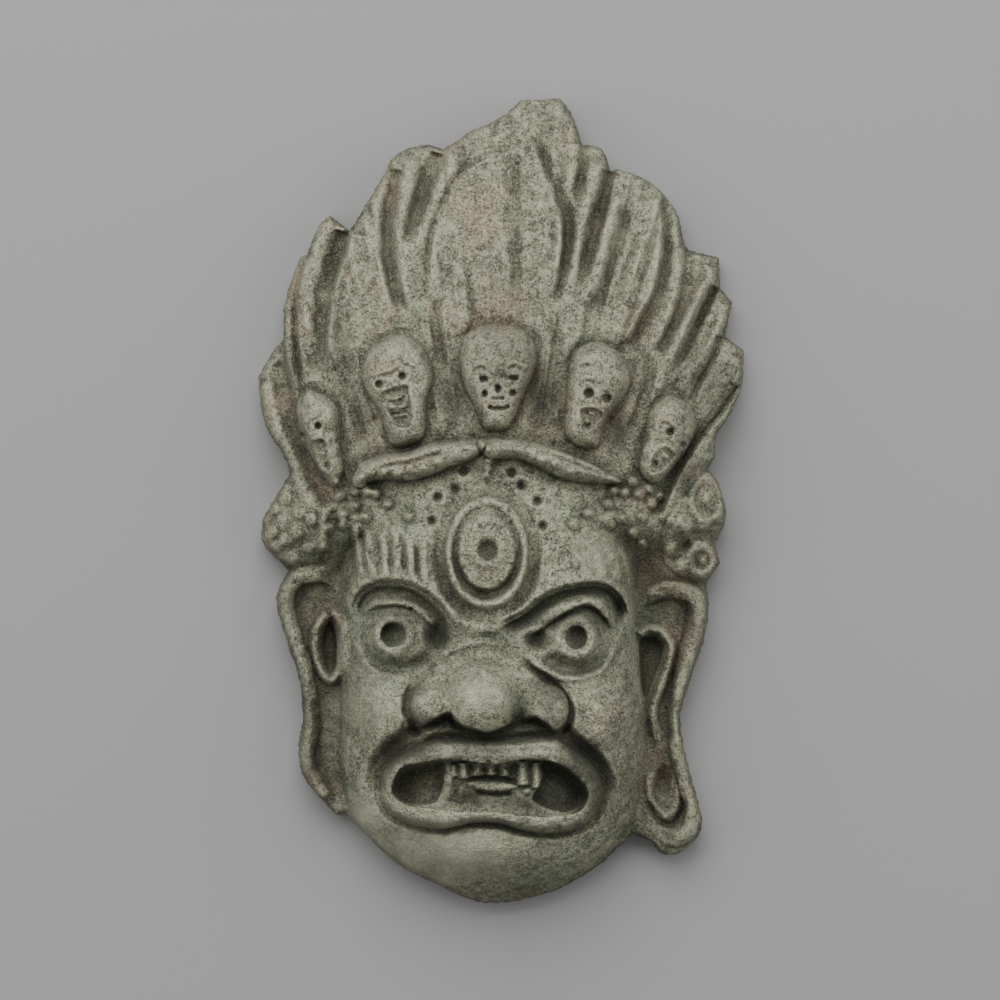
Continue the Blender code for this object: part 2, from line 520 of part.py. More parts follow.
def carve_eyes(carving):
    """Knitted brows over two round eyes with heavy lids."""
    carving.lap(LEFT_BROW, 5.0, 18, 9.5, 10, high=1, fade=0.12, soft=2.6)
    carving.lap(RIGHT_BROW, 5.0, 18, 9.5, 8, high=1, fade=0.12, soft=1.8)
    carving.knob(-7, -61, 15, 4.5, radius_y=9)
    carving.knob(-52, -69, 22, 10, radius_y=17.5)
    carving.knob(38, -70, 25, 10.5, radius_y=18)
    carving.lap(LEFT_LID, 2.6, 5, 2.6, 5, high=1, fade=0.12, soft=1.0)
    carving.ridge([(x, y + 4.0) for x, y in RIGHT_LID[1:]], 4.8, 3.2, fade=0.12)
    carving.lap(RIGHT_LID, 1.8, 5, 3.8, 5, high=1, fade=0.1, soft=1.0)
    carving.ridge(LEFT_FOLD, 2.4, 1.8, fade=0.2)
    carving.ridge(RIGHT_FOLD, 2.6, 2.2, fade=0.15)
    for hollow in (
        [(-68, -72), (-63, -79), (-55, -82.5), (-45, -82.5), (-36, -78), (-30, -70)],
        [(17, -73), (25, -79), (34, -83), (44, -83), (52, -78), (57, -69)],
    ):
        carving.groove(hollow, 5.0, 4.0, fade=0.2)
    carving.pit(-31, -68, 9, 8.5, radius_y=9)
    carving.pit(19, -70, 9, 7.5, radius_y=7)
    carving.pit(59, -53, 5, 3.6, radius_y=8)
    for x, y, iris, pupil, squash in ((-53, -67, 8.8, 6.6, 1.0), (37.8, -68.2, 9.0, 6.0, 1.06)):
        carving.hoop(x, y, iris, 2.6, 2.2, squash)
        carving.pit(x, y, pupil, 10, radius_y=pupil * squash, profile=flat_pit)
    carving.pit(-44, -54, 1.6, 2.5)
    carving.pit(-58, -75, 2.2, 1.6)


# The edge under the nose's wings and tip.
NOSE_FOOT = [(-45, -110), (-41, -113), (-34, -109.2), (-25.5, -105.4), (-22, -109), (-17.5, -112),
             (-11, -113.8), (-6.5, -115), (0, -113), (7.5, -110), (16.5, -107.2), (20.5, -109),
             (24.5, -111.5), (29, -116)]


def carve_nose(carving):
    """A snub nose with round wings, cut in under its tip."""
    body = carving.mound(-8, -93, 32, 21.5, 58, 75)
    body = blend_up(body, carving.mound(-9.5, -99, 20, 21, 57, 90), 9)
    body = blend_up(body, carving.mound(-32.5, -101.5, 13.5, 13.5, 54, 79), 8)
    body = blend_up(body, carving.mound(22.5, -103.5, 13.5, 14.5, 54, 79.5), 8)
    body = blur(body, 0.9 / carving.pitch)
    above_foot = ring_through([(-50, -70), (-50, -108), *NOSE_FOOT, (40, -112), (42, -70), (-5, -50)])
    area, depth = carving.inside(above_foot, 8)
    carving.z[area] += np.clip(body[area] - carving.z[area], 0, None) * step(-1.6, 0.8, depth)
    carving.ridge([(-31, -79), (-24, -74), (-14, -71), (-5, -70.6), (3, -74)], 2.6, 1.2)
    carving.groove([(8, -77), (15, -83), (24, -89.5), (31, -97), (35, -105), (33.5, -112), (29, -117)],
                   3.2, 3.4,
                   fade=(0.2, 0.1))
    carving.groove([(-42, -90), (-45.5, -96), (-46.5, -104), (-43, -111), (-38, -115)], 3.2, 3.4,
                   fade=(0.3, 0.1))
    carving.lap([(x, y - 0.8) for x, y in NOSE_FOOT], 0.5, 4, 5.5, 6, high=1, fade=0.06, soft=1.0)
    carving.groove([(-37, -116), (-22, -118), (-5, -119), (12, -118), (27, -117)], 4.5, 2.6, fade=0.15)


def carve_cheeks(carving):
    """Bulging cheeks, the folds from the nose to the mouth, and the chin."""
    carving.groove([(-40, -112), (-46, -117.5), (-54, -124), (-60, -132), (-63, -142), (-62, -151)], 7,
                   6.0,
                   fade=(0.08, 0.3))
    carving.groove([(30, -113), (37, -120), (46, -127.5), (51.8, -136), (54, -145), (53, -155)], 5.5,
                   6.5,
                   fade=(0.06, 0.3))
    carving.knob(-60, -103, 25, 9, radius_y=22)
    carving.knob(52, -105, 27, 9, radius_y=24)
    carving.ridge([(-50, -112), (-60, -118), (-68, -130)], 9, 2.5, fade=0.3)
    carving.ridge([(42, -112), (53, -121), (60, -134)], 9, 2.5, fade=0.3)
    carving.knob(-3, -176, 50, 9, radius_y=22)


# The lips' outline, the opening between them and its two deep ends.
LIPS = [(-60, -145), (-58, -135), (-50, -127), (-40, -121.5), (-30, -118.5), (-15, -118), (5, -118),
        (24, -116.8), (33, -121.5), (43, -128.5), (49, -136), (51.5, -145), (50, -153), (45, -160),
        (35, -165), (22, -166), (10, -164), (0, -161), (-12, -160.5), (-22, -162.5), (-30, -164),
        (-45, -161.5), (-54, -157.5), (-58.5, -152)]
MOUTH = [(-54, -144), (-52, -137), (-48, -132), (-40, -130.3), (-30, -128.6), (-20, -128.6),
         (-10, -130), (0, -130.5), (10, -128.6), (22, -128.6), (32, -132), (40, -138.5), (44, -145),
         (42.5, -151.5), (37, -156), (20, -157.5), (0, -156), (-20, -155), (-35, -153.5), (-45, -152),
         (-51, -149)]
LEFT_POCKET = [(-52, -143), (-49, -136), (-43, -132), (-30, -129.5), (-27.5, -133), (-28.5, -143),
               (-32, -150), (-42, -151.5), (-49, -149)]
RIGHT_POCKET = [(21, -129.5), (28, -130.5), (36, -135.5), (42.5, -143.5), (43, -148.5), (38, -153),
                (32, -155), (24, -153.5), (17.5, -150), (16, -147.5), (19, -142), (21, -137)]

# Teeth as x, top, foot, half width and height.
TEETH = (
    (-22.5, -131, -137.5, 2.2, 3.0), (-18.2, -130, -138.6, 4.2, 4.4), (-11, -130.4, -137.4, 4.2, 3.8),
    (-4.6, -130.6, -137.2, 3.8, 4.0), (2, -130.8, -137.4, 3.8, 3.4), (11.2, -129.5, -142, 4.4, 4.6),
    (18, -130, -143.5, 3.6, 4.0),
)


def carve_mouth(carving):
    """The grimace: lips round an opening with two deep pockets, fangs and a bitten tongue."""
    carving.moat(LIPS, 3.8, 3.6)
    carving.pad(LIPS, 9, 9)
    area, depth = carving.inside(ring_through(MOUTH), 20)
    x, y = carving.x[area], carving.y[area]
    ramp_up = step(-136, -157, y) * step(60, 30, np.abs(x + 4))
    carving.z[area] -= 11.5 * quarter_round(depth / 4.0) * (1 - 0.62 * ramp_up)
    carving.pad(LEFT_POCKET, -6.5, 7)
    carving.pad(RIGHT_POCKET, -7.5, 3.5)
    carving.ridge([(-25, -130), (-25, -140), (-26.5, -150)], 3.6, 2.4, fade=(0.05, 0.3))
    for x, top, foot, width, height in TEETH:
        carving.ridge([(x, top), (x, (top + foot) / 2), (x + 0.4, foot)], width, height,
                      fade=(0.05, 0.08))
    carving.groove([(-17, -139.6), (-13, -138.2), (-4, -137.8), (4, -139.2), (9, -141)], 1.8, 3.0,
                   fade=0.12)
    carving.pad([(-16, -140), (-5, -139.3), (5, -140), (9, -142.6), (3, -144.4), (-6, -144.4),
                 (-14, -143.2)], 3.4, 2.6)
    carving.groove([(-13, -145), (-3, -146.2), (7, -145.6)], 1.6, 2.4, fade=0.15)
    carving.knob(13.5, -144.5, 3.6, 3.2, radius_y=2.4)
    carving.ridge([(-19, -141), (-20, -147), (-19, -151)], 2.6, 1.4)
    carving.ridge([(-57, -147), (-52, -153.5), (-43, -157.5), (-30, -159.4), (-12, -157), (0, -157.4),
                   (16, -160.6), (30, -161), (41, -157.5), (48, -150)], 4.4, 1.6, fade=0.12)
    carving.ridge([(-56.5, -141), (-53, -134.5), (-46, -129.4), (-34, -126.2), (-15, -125.8), (0, -127),
                   (18, -125.6), (30, -127.5), (40, -133.5), (47.5, -142)], 3.4, 1.4, fade=0.12)


# The five skull heads from left to right: outlines, then crowns as x, y and radius.
SKULL_SHAPES = [
    [(-93.5, 55.5), (-85, 51.5), (-80, 45), (-79.5, 35), (-79, 25), (-77.5, 15), (-80, 8.5),
     (-83.5, 6.5), (-87.5, 11), (-92.5, 19), (-98.5, 27.5), (-101.5, 35), (-102.5, 42.5), (-100.5, 50),
     (-97.5, 54.5)],
    [(-50, 82.5), (-41, 79), (-35, 70), (-33, 60), (-36, 50), (-36.5, 37.5), (-39, 30), (-47.5, 26),
     (-54, 27.5), (-57, 35), (-61, 45), (-66, 52.5), (-69, 61), (-68, 69), (-64, 76.5), (-57.5, 81)],
    [(0, 87.5), (10, 86), (16, 80), (18.5, 72.5), (17.5, 64), (13.5, 55), (10, 47.5), (7, 40),
     (3.5, 35), (-2.5, 34), (-8, 36), (-11, 42.5), (-15, 50), (-18.5, 57.5), (-20, 66), (-20, 75),
     (-17, 82.5), (-10, 86.5)],
    [(47.5, 79), (57.5, 75), (64, 66), (65, 57.5), (61, 50), (55, 42.5), (51, 35), (49, 27.5),
     (44, 25.5), (37.5, 27), (32.5, 32.5), (32, 40), (33, 50), (33.5, 60), (35, 70), (39, 76)],
    [(86, 53), (95, 47.5), (98, 40), (97, 32.5), (93.5, 25), (89, 19), (84, 13.5), (77.5, 8),
     (72.5, 10), (69, 16), (70, 25), (72.5, 35), (74, 44), (78.5, 50)],
]
SKULL_CROWNS = [(-91, 43, 12), (-50, 68, 16), (-1, 72, 18), (50, 65, 15), (85, 41, 12)]
SKULL_LIFT = 11.5
SKULL_ROUNDING = 9.5

# Eyes and other pits as x, y and radii; brows, noses, mouths, teeth and lips as lines.
SKULL_EYES = (
    (-90.5, 37, 2.0, 2.0), (-98, 32, 1.8, 2.0), (-60, 57.5, 2.2, 2.2), (-48.5, 61.5, 2.2, 2.2),
    (-8, 60, 2.6, 1.7), (6.8, 60.5, 2.8, 1.6), (-1, 55, 1.7, 2.3), (-7.5, 52.8, 1.8, 2.1),
    (6.2, 53, 1.8, 1.9),
    (44, 53, 2.9, 2.8), (53, 50.5, 2.7, 2.6), (84.5, 34, 2.2, 2.2), (91, 28, 2.0, 1.9),
)

SKULL_BROWS = (
    [(-14, 65), (-10, 67.5), (-6, 66)], [(3, 66), (7.5, 68), (12, 65.5)],
    [(-65.5, 62), (-57.5, 63.8), (-52.5, 65.5), (-49.5, 69.5)], [(-49, 69), (-45, 68), (-42, 65.5)],
    [(-98, 38), (-93, 41.5), (-87, 44)], [(39, 59), (43, 61), (48, 59.5)],
    [(38, 67), (43, 69), (48, 67)],
    [(79, 40), (84, 39.5), (89, 35)],
)

SKULL_NOSES = (
    [(-94.5, 37), (-93.5, 32)], [(-55, 61), (-54.5, 57)], [(48.5, 56), (48, 50)],
    [(87.5, 32), (85, 29)],
    [(-95, 31), (-91, 32.2), (-87.5, 32)],
)

SKULL_MOUTHS = (
    [(-94, 29), (-87.5, 30), (-85, 22.5), (-83.5, 17), (-86, 14), (-90, 17.5), (-94, 25)],
    [(-59.5, 52.5), (-54, 55.5), (-46, 57), (-45, 52.5), (-44, 47.5), (-43.5, 40), (-45, 36), (-51, 36),
     (-53.5, 40), (-56.5, 45)],
    [(40, 45), (46, 46), (51, 43.5), (50, 40), (46.5, 36), (41, 34), (40, 40)],
    [(77.5, 24), (82.5, 26.5), (87.5, 22.5), (84, 17.5), (80, 14), (75, 13.5), (75, 19)],
)

SKULL_CAVITIES = (
    (-86, 17.5, 2.0, 2.4), (-48.5, 40, 4.0, 3.0), (43.5, 37, 2.4, 2.2), (77, 18, 2.4, 2.8),
)

SKULL_TEETH = (
    [(-90, 23.5), (-87, 22.5)], [(-55.5, 46), (-51, 46), (-46, 47.5)], [(44, 43.5), (47, 42)],
    [(80.5, 22.5), (84, 21)],
)

SKULL_LIPS = (
    [(-56, 49), (-51, 49), (-46.5, 51.5)], [(-55, 43), (-50, 43), (-45.5, 44.5)],
)


def carve_skulls(carving):
    """Five skull heads side by side in front of the hair."""
    for shape in SKULL_SHAPES:
        carving.moat(shape, 4.5, 2.4)
    for shape, (x, y, radius) in zip(SKULL_SHAPES, SKULL_CROWNS):
        carving.pad(shape, SKULL_LIFT, SKULL_ROUNDING)
        carving.knob(x, y, radius, 4)
    for x, y, radius, radius_y in SKULL_EYES:
        carving.pit(x, y, radius, 3.6, radius_y=radius_y, profile=flat_pit)
        carving.hoop(x, y, radius + 1.2, 1.4, 0.4, squash=radius_y / radius)
    for brow in SKULL_BROWS:
        carving.ridge(brow, 1.8, 1.0)
        carving.groove([(x, y - 1.7) for x, y in brow], 1.5, 0.8)
    for nose in SKULL_NOSES:
        carving.ridge(nose, 2.6, 1.5)
    for mouth in SKULL_MOUTHS:
        carving.moat(mouth, 2.4, -0.9)
        carving.pad(mouth, -2.6, 1.6)
    for x, y, radius, radius_y in SKULL_CAVITIES:
        carving.pit(x, y, radius, 2.6, radius_y=radius_y)
    for teeth in SKULL_TEETH:
        carving.ridge(teeth, 1.5, 2.0, fade=0.05)
    for lip in SKULL_LIPS:
        carving.groove(lip, 1.2, 1.6, fade=0.1)
    carving.groove([(-4.4, 50.6), (-1, 50.2), (2.4, 50.6)], 1.3, 1.8, fade=0.1)
    carving.groove([(-5.8, 46.9), (-4, 45.6), (0, 45.4), (3, 45.8), (4.6, 47)], 1.7, 3.0, fade=0.05)


# Outlines of the two halves of the band, and where their beads sit.
BAND_HALVES = (
    [(-71.5, 16), (-68, 19.5), (-58, 23), (-45, 25), (-33, 29), (-20, 29.8), (-9, 30.2), (-8, 25),
     (-15, 19.5), (-24, 16.5), (-33, 12.5), (-45, 9.5), (-62, 9.5), (-69, 6), (-73.5, 8)],
    [(-10, 30), (9, 30.2), (20, 28), (33, 23.5), (45, 18.5), (56, 12.5), (60, 9.5), (57, 8), (43, 8.5),
     (30, 11), (18, 16.5), (8, 20.5), (-6, 21)],
)

BAND_BEADS = (
    (-64.5, 13.8), (-58, 13.2), (-51, 12.6), (-44.5, 15.4), (-38, 16.8), (-31, 19), (20.5, 19.2),
    (28, 17.8), (35.5, 14.8), (43, 12.5), (50, 12), (56, 11.2),
)


def carve_band(carving):
    """The beaded band under the skulls, in two halves that meet, with a small pendant."""
    for half in BAND_HALVES:
        carving.moat(half, 6, 2.6)
    for half in BAND_HALVES:
        carving.pad(half, 11.5, 6)
    carving.ridge([(-69, 17), (-58, 19.5), (-46, 21.5), (-34, 25.5), (-20, 27)], 2.6, 1.4, fade=0.1)
    carving.groove([(-60, 17), (-52, 17.8), (-44, 19), (-34, 22.2), (-26, 24)], 1.8, 1.6, fade=0.2)
    carving.ridge([(12, 27.5), (24, 25.5), (36, 21.5), (47, 16.8), (58, 11)], 2.6, 1.4, fade=0.1)
    carving.groove([(18, 24.5), (28, 22.2), (38, 18.4), (47, 14.8), (55, 12)], 1.8, 1.6, fade=0.1)
    for x, y in BAND_BEADS:
        carving.knob(x, y, 3.5, 2.0)
    carving.knob(-66.5, 4.8, 4.4, 7)
    carving.knob(-71.5, 10, 4.0, 3)
    carving.pit(-66.5, 8.6, 2.0, 1.5)
    for x, y in ((-5.5, 19.5), (-6, 15.5), (-6.8, 12)):
        carving.knob(x, y, 2.9, 3.4)


def carve(pitch):
    """The whole front, before its edges are rounded."""
    carving = Carving(pitch)
    carve_masses(carving)
    carve_hair(carving)
    carve_ornaments(carving)
    carve_ears(carving)
    carve_forehead(carving)
    carve_eyes(carving)
    carve_nose(carving)
    carve_cheeks(carving)
    carve_mouth(carving)
    carve_skulls(carving)
    carve_band(carving)
    carve_third_eye(carving)
    return carving


def kept_cells(depth, pitch):
    """Grid cells inside the outline, without pairs that touch only at a corner."""
    near = depth > -EDGE_TOLERANCE * pitch
    cells = near[:-1, :-1] & near[1:, :-1] & near[:-1, 1:] & near[1:, 1:]
    for _ in range(3):
        a, b, c, d = cells[:-1, :-1], cells[:-1, 1:], cells[1:, :-1], cells[1:, 1:]
        pinched = (a & d & ~b & ~c) | (b & c & ~a & ~d)
        cells[:-1, :-1] &= ~pinched
        cells[:-1, 1:] &= ~pinched
        cells[1:, :-1] &= ~pinched
        cells[1:, 1:] &= ~pinched
    return cells


def mask_surface():
    """Points and faces of the closed shell: carved front, hollow back and the wall round the edge."""
    pitch = GRID_PITCH / SCALE
    carving = carve(pitch)
    outline = silhouette()
    roll = EDGE_ROUNDING / SCALE
    depth = np.full(carving.z.shape, -99.0)
    reach = max(roll, (RIM_WIDTH + RIM_TO_HOLLOW_SLOPE) / SCALE) + 2 * pitch
    area, found = carving.inside(outline, reach)
    depth[area] = found
    cells = kept_cells(depth, pitch)

    corner_number = np.arange(depth.size).reshape(depth.shape)
    quads = np.stack(
        [corner_number[:-1, :-1][cells], corner_number[:-1, 1:][cells],
         corner_number[1:, 1:][cells], corner_number[1:, :-1][cells]], axis=1
    )
    edges = quads[:, [0, 1, 1, 2, 2, 3, 3, 0]].reshape(-1, 2)
    forward = edges[:, 0] * depth.size + edges[:, 1]
    backward = edges[:, 1] * depth.size + edges[:, 0]
    rim_edges = edges[~np.isin(forward, backward)]
    on_rim = np.zeros(depth.size, bool)
    on_rim[rim_edges] = True

    slope_y, slope_x = np.gradient(depth, pitch)
    steep = np.maximum(np.hypot(slope_x, slope_y), 0.5) ** 2
    move = np.where(on_rim.reshape(depth.shape), depth, 0.0)
    x = carving.x - move * slope_x / steep
    y = carving.y - move * slope_y / steep
    inward = np.where(on_rim.reshape(depth.shape), 0.0, np.clip(depth, 0, None))

    front = carving.z - roll * (1 - quarter_round(inward / roll))
    solid_rim = RIM_WIDTH / SCALE
    slope_end = (RIM_WIDTH + RIM_TO_HOLLOW_SLOPE) / SCALE
    floor_of_carving = np.where(depth > 0, front, EAR_HEIGHT)
    under = blur(lowest_near(floor_of_carving, int(WALL_REACH / pitch)), HOLLOW_SMOOTHING / SCALE / pitch)
    hollow = np.clip(under - WALL_THICKNESS / SCALE, 0, None) * step(solid_rim, slope_end, depth)
    back = np.where(hollow > THINNEST_HOLLOW, hollow, -RIM_TRIM / SCALE)

    used = np.unique(quads)
    place = np.full(depth.size, -1)
    place[used] = np.arange(len(used))
    flat = np.stack([x.ravel()[used], y.ravel()[used]], axis=1)
    top = np.column_stack([flat, front.ravel()[used]])
    bottom = np.column_stack([flat, back.ravel()[used]])
    rim_points = np.unique(rim_edges)
    rim_place = np.full(depth.size, -1)
    rim_place[rim_points] = np.arange(len(rim_points))
    points = [top, bottom]
    count = len(used)
    rings = [place[rim_edges]]
    for row in range(1, WALL_ROWS):
        share = row / WALL_ROWS
        points.append(top[place[rim_points]] * (1 - share) + bottom[place[rim_points]] * share)
        rings.append(rim_place[rim_edges] + 2 * count + (row - 1) * len(rim_points))
    rings.append(place[rim_edges] + count)
    faces = [place[quads], place[quads][:, ::-1] + count]
    for upper, lower in zip(rings, rings[1:]):
        faces.append(np.stack([upper[:, 1], upper[:, 0], lower[:, 0], lower[:, 1]], axis=1))
    points = np.vstack(points)
    points[:, :2] -= DRAWN_CENTRE
    return points * SCALE, np.vstack(faces)


def stone():
    """Weathered grey-green stone."""
    material = bpy.data.materials.new("weathered stone")
    material.use_nodes = True
    shader = material.node_tree.nodes["Principled BSDF"]
    shader.inputs["Base Color"].default_value = STONE_COLOUR
    shader.inputs["Roughness"].default_value = STONE_ROUGHNESS
    return material


def rim_cutter():
    """A slab under the floor that planes the back rim flat."""
    bpy.ops.mesh.primitive_cube_add(size=2 * MASK_HEIGHT, location=(0, 0, -MASK_HEIGHT))
    cutter = bpy.context.object
    cutter.name = "rim_cutter"
    cutter.hide_render = True
    cutter.display_type = "WIRE"
    return cutter


def build_mask():
    """The mask as one solid."""
    points, faces = mask_surface()
    mesh = bpy.data.meshes.new("mask")
    mesh.from_pydata(points.tolist(), [], faces.tolist())
    mesh.materials.append(stone())
    mesh.shade_smooth()
    mask = bpy.data.objects.new("mask", mesh)
    bpy.context.collection.objects.link(mask)
    thin = mask.modifiers.new("fewer faces", "DECIMATE")
    thin.ratio = TRIANGLE_BUDGET / (2 * len(faces))
    plane = mask.modifiers.new("flat rim", "BOOLEAN")
    plane.operation = "DIFFERENCE"
    plane.solver = "EXACT"
    plane.object = rim_cutter()
    return mask


def main():
    for old in list(bpy.data.objects):
        bpy.data.objects.remove(old)
    build_mask()


main()
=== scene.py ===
import math

import bpy
import numpy as np
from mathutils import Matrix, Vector


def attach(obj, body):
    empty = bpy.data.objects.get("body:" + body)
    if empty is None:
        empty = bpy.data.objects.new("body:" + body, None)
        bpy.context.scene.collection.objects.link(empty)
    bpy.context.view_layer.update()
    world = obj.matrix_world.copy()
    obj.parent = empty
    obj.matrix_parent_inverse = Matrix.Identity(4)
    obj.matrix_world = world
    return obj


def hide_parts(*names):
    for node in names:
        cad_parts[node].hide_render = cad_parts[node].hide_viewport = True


bl_info = {
    "name": "Stone Guardian Mask",
    "version": (1, 0),
    "blender": (4, 5, 0),
    "location": "View3D > Sidebar > Mask",
    "description": "Carves a weathered stone guardian mask and sets up its studio",
    "category": "Add Mesh",
}

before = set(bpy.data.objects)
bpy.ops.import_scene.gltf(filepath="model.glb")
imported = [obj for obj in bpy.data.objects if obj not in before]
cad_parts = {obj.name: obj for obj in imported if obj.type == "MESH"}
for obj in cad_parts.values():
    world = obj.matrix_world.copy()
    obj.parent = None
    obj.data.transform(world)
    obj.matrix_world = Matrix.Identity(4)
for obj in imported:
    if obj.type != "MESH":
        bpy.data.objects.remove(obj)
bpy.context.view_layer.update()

NODE = "mask"

# The carving is drawn in millimetres on a mask 402 mm tall: x to the right, y to the flames, z up from
# the rim. One factor takes it to the real height.
MASK_HEIGHT = 0.402
DRAWN_HEIGHT = 402.0
DRAWN_CENTRE = (0.5, -0.2)
DRAWN_HALF_SIZE = (126.0, 206.0)
MILLIMETRE = MASK_HEIGHT / DRAWN_HEIGHT

# Sizes of the shell in metres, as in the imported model.
WALL_THICKNESS = 0.015
RIM_WIDTH = 0.014
RIM_TO_HOLLOW_SLOPE = 0.016
EDGE_ROUNDING = 0.005
HOLLOW_SMOOTHING = 0.007

# The mesh: rows down the side, and lengths in drawn millimetres.
WALL_ROWS = 7
WALL_REACH = 5.0
BACK_PITCH = 2.6
BACK_MARGIN = 4.0
THINNEST_HOLLOW = 1.5
FLOOR_TOLERANCE = 0.01
EDGE_TOLERANCE = 0.5
PINCH_PASSES = 3
BACKWARD_NORMAL = -0.3
SHARP_FROM = math.radians(70)

# How far round each point looks for what hides its sky, in drawn millimetres.
SKY_DIRECTIONS = 16
SKY_REACHES = (1.0, 2.0, 3.5, 6.0, 10.0, 16.0, 26.0)

# Unevenness, pits, chips, the rough side and the tooled hollow: size in drawn millimetres and seed,
# and for the hollow how far its marks are drawn out and their direction.
COARSE = (5.0, 11)
MIDDLE = (1.5, 12)
FINE = (0.6, 13)
PITS = (0.9, 14)
CHIPS = (1.2, 15)
WALL_GRAIN = (1.4, 21)
TOOL_MARKS = (2.4, 31, 2.0, 1.2)
UNEVEN_HEIGHTS = (0.28, 0.16, 0.10)
PIT_DEPTH = 0.7
CHIP_DEPTH = 0.9
WALL_ROUGHNESS = 0.35
WALL_GRAIN_LEAN = (3.1, 2.3)
TOOL_MARK_HEIGHT = 0.35
SMOOTHER_FACE = 0.55
CHIPPED_EDGE = 1.6
# Width over which convex edges read as worn and get a painted highlight.
WORN_AND_LIT_EDGE = 1.8

# Where old chisel strokes show: middle and reach of each field, the strokes' direction and a seed.
STROKE_HEIGHT = 0.22
STROKE_WIDTH = 0.7
STROKE_STRETCH = 9.0
CHISEL_FIELDS = (
    ((55, -105, 34), 0.6, 41),
    ((55, -25, 26), 0.7, 42),
    ((-45, -30, 28), 1.35, 43),
    ((30, -175, 40), 0.3, 44),
    ((-40, -110, 26), 2.4, 45),
)

FLOOR_SIZE = 30.0
FLOOR_HEIGHT = -0.0004
CAMERA_PLACE = (-0.0005, 0.0002)
FOCUS_HEIGHT = 0.02
SENSOR_WIDTH = 36.0
# Soft lights: name, place, size and share of the studio's light.
LIGHTS = (
    ("key_light", (-0.20, 1.30, 1.70), 1.7, 1.0),
    ("left_light", (-1.6, 0.35, 1.05), 1.8, 0.36),
    ("right_light", (1.6, 0.25, 1.05), 1.8, 0.34),
)

# The silhouette, clockwise from the top: each run is one lock of hair, ear, ornament or the jaw,
# and a corner stands wherever one run meets the next.
SILHOUETTE = [
    [(10.5, 200), (20, 200.3), (30, 201)],
    [(30, 201), (36.5, 191), (40.5, 177.5)],
    [(40.5, 177.5), (50.5, 175.5), (55, 164.5)],
    [(55, 164.5), (63, 164), (76.5, 158), (87.5, 145), (91.5, 127.5)],
    [(91.5, 127.5), (95.5, 124), (109, 121)],
    [(109, 121), (109.5, 105.5)],
    [(109.5, 105.5), (115.5, 99)],
    [(115.5, 99), (112, 81.5)],
    [(112, 81.5), (121.5, 75)],
    [(121.5, 75), (121, 58), (114.5, 43), (108, 33.5)],
    [(108, 33.5), (107, 28), (107, 21.5)],
    [(107, 21.5), (103, 15.5)],
    [(103, 15.5), (108, 10), (112.5, -3), (112.5, -11.5)],
    [(112.5, -11.5), (107.5, -21)],
    [(107.5, -21), (109.5, -31.5)],
    [(109.5, -31.5), (103, -41.5)],
    [(103, -41.5), (104, -54), (102, -69), (91, -101), (90.3, -117), (98.5, -151), (100.5, -162),
     (97.5, -170), (90, -176.5), (81.5, -176.5), (75.5, -170.5), (66.5, -166.5)],
    [(66.5, -166.5), (49, -182.5), (28, -195), (4.5, -201), (-14.5, -200), (-35, -190.5),
     (-53, -180.5), (-77, -157)],
    [(-77, -157), (-82, -157.5)],
    [(-82, -157.5), (-97.5, -139.5), (-100.5, -127), (-98.5, -111), (-100, -91), (-110.5, -57.5),
     (-110.7, -46), (-105.5, -35)],
    [(-105.5, -35), (-116, -24.5), (-119.5, -19.5)],
    [(-119.5, -19.5), (-118.3, -15), (-119, -10.5)],
    [(-119, -10.5), (-113.5, -1)],
    [(-113.5, -1), (-104.5, 13.5)],
    [(-104.5, 13.5), (-108, 23), (-116, 35), (-119.5, 48), (-120.5, 61.5)],
    [(-120.5, 61.5), (-113.5, 74), (-108, 80)],
    [(-108, 80), (-107.3, 98), (-100, 121.5)],
    [(-100, 121.5), (-96.5, 122.5)],
    [(-96.5, 122.5), (-92, 134), (-85.5, 142.5)],
    [(-85.5, 142.5), (-75, 134)],
    [(-75, 134), (-57, 164), (-56, 168)],
    [(-56, 168), (-49, 174.5), (-37, 177.3), (-28, 175)],
    [(-28, 175), (-14.5, 184), (0.5, 191), (10.5, 200)],
]

# The face's edge where it stands over the ears and the hair, and the heights down its middle.
FACE_EDGE = [
    (8, -201), (30, -195), (51, -182), (67, -162), (73, -135), (74, -100), (71, -75), (69.5, -50),
    (70, -30), (69, -5), (63, 25), (45, 55), (0, 75), (-45, 60), (-68, 30), (-77, 0), (-80, -35),
    (-80.5, -70), (-80.5, -105), (-81, -135), (-74, -162), (-55, -182), (-33, -195), (-14.5, -201),
]
FACE_MIDDLE_Y = [-202, -190, -178, -160, -140, -110, -20, 10, 40, 80]
FACE_MIDDLE_Z = [38, 47, 54, 60, 64, 66, 65, 62, 58, 50]
FACE_EDGE_HEIGHT = 12.0
FACE_SHOULDER = 60.0
EARS_FROM = -8.0
EARS_FULL = -38.0
SWELL_POWERS = (2.3, 0.66)
FACE_SOFTNESS = 3.0
HAIR_EDGE_HEIGHT = 18.0
HAIR_RISE = 44.0
HAIR_CENTRE = (1.0, 28.0)
HAIR_REACH = (122.0, 176.0)
EAR_HEIGHT = 17.0


def smooth(points, spans=6):
    """A Catmull-Rom curve through the points."""
    p = np.array(points, float)
    if len(p) < 3:
        return p
    ends = np.vstack([2 * p[0] - p[1], p, 2 * p[-1] - p[-2]])
    t = np.linspace(0, 1, spans, endpoint=False)[:, None]
    rows = []
    for a, b, c, d in zip(ends, ends[1:], ends[2:], ends[3:]):
        bend = (2 * a - 5 * b + 4 * c - d) * t**2 + (3 * b - a - 3 * c + d) * t**3
        rows.append(0.5 * (2 * b + (c - a) * t + bend))
    return np.vstack([*rows, p[-1:]])


def ring_through(points, spans=6):
    """A closed smooth curve, its last point on its first."""
    line = smooth([*points[-2:], *points, *points[:2]], spans)
    return line[2 * spans : (2 + len(points)) * spans + 1]


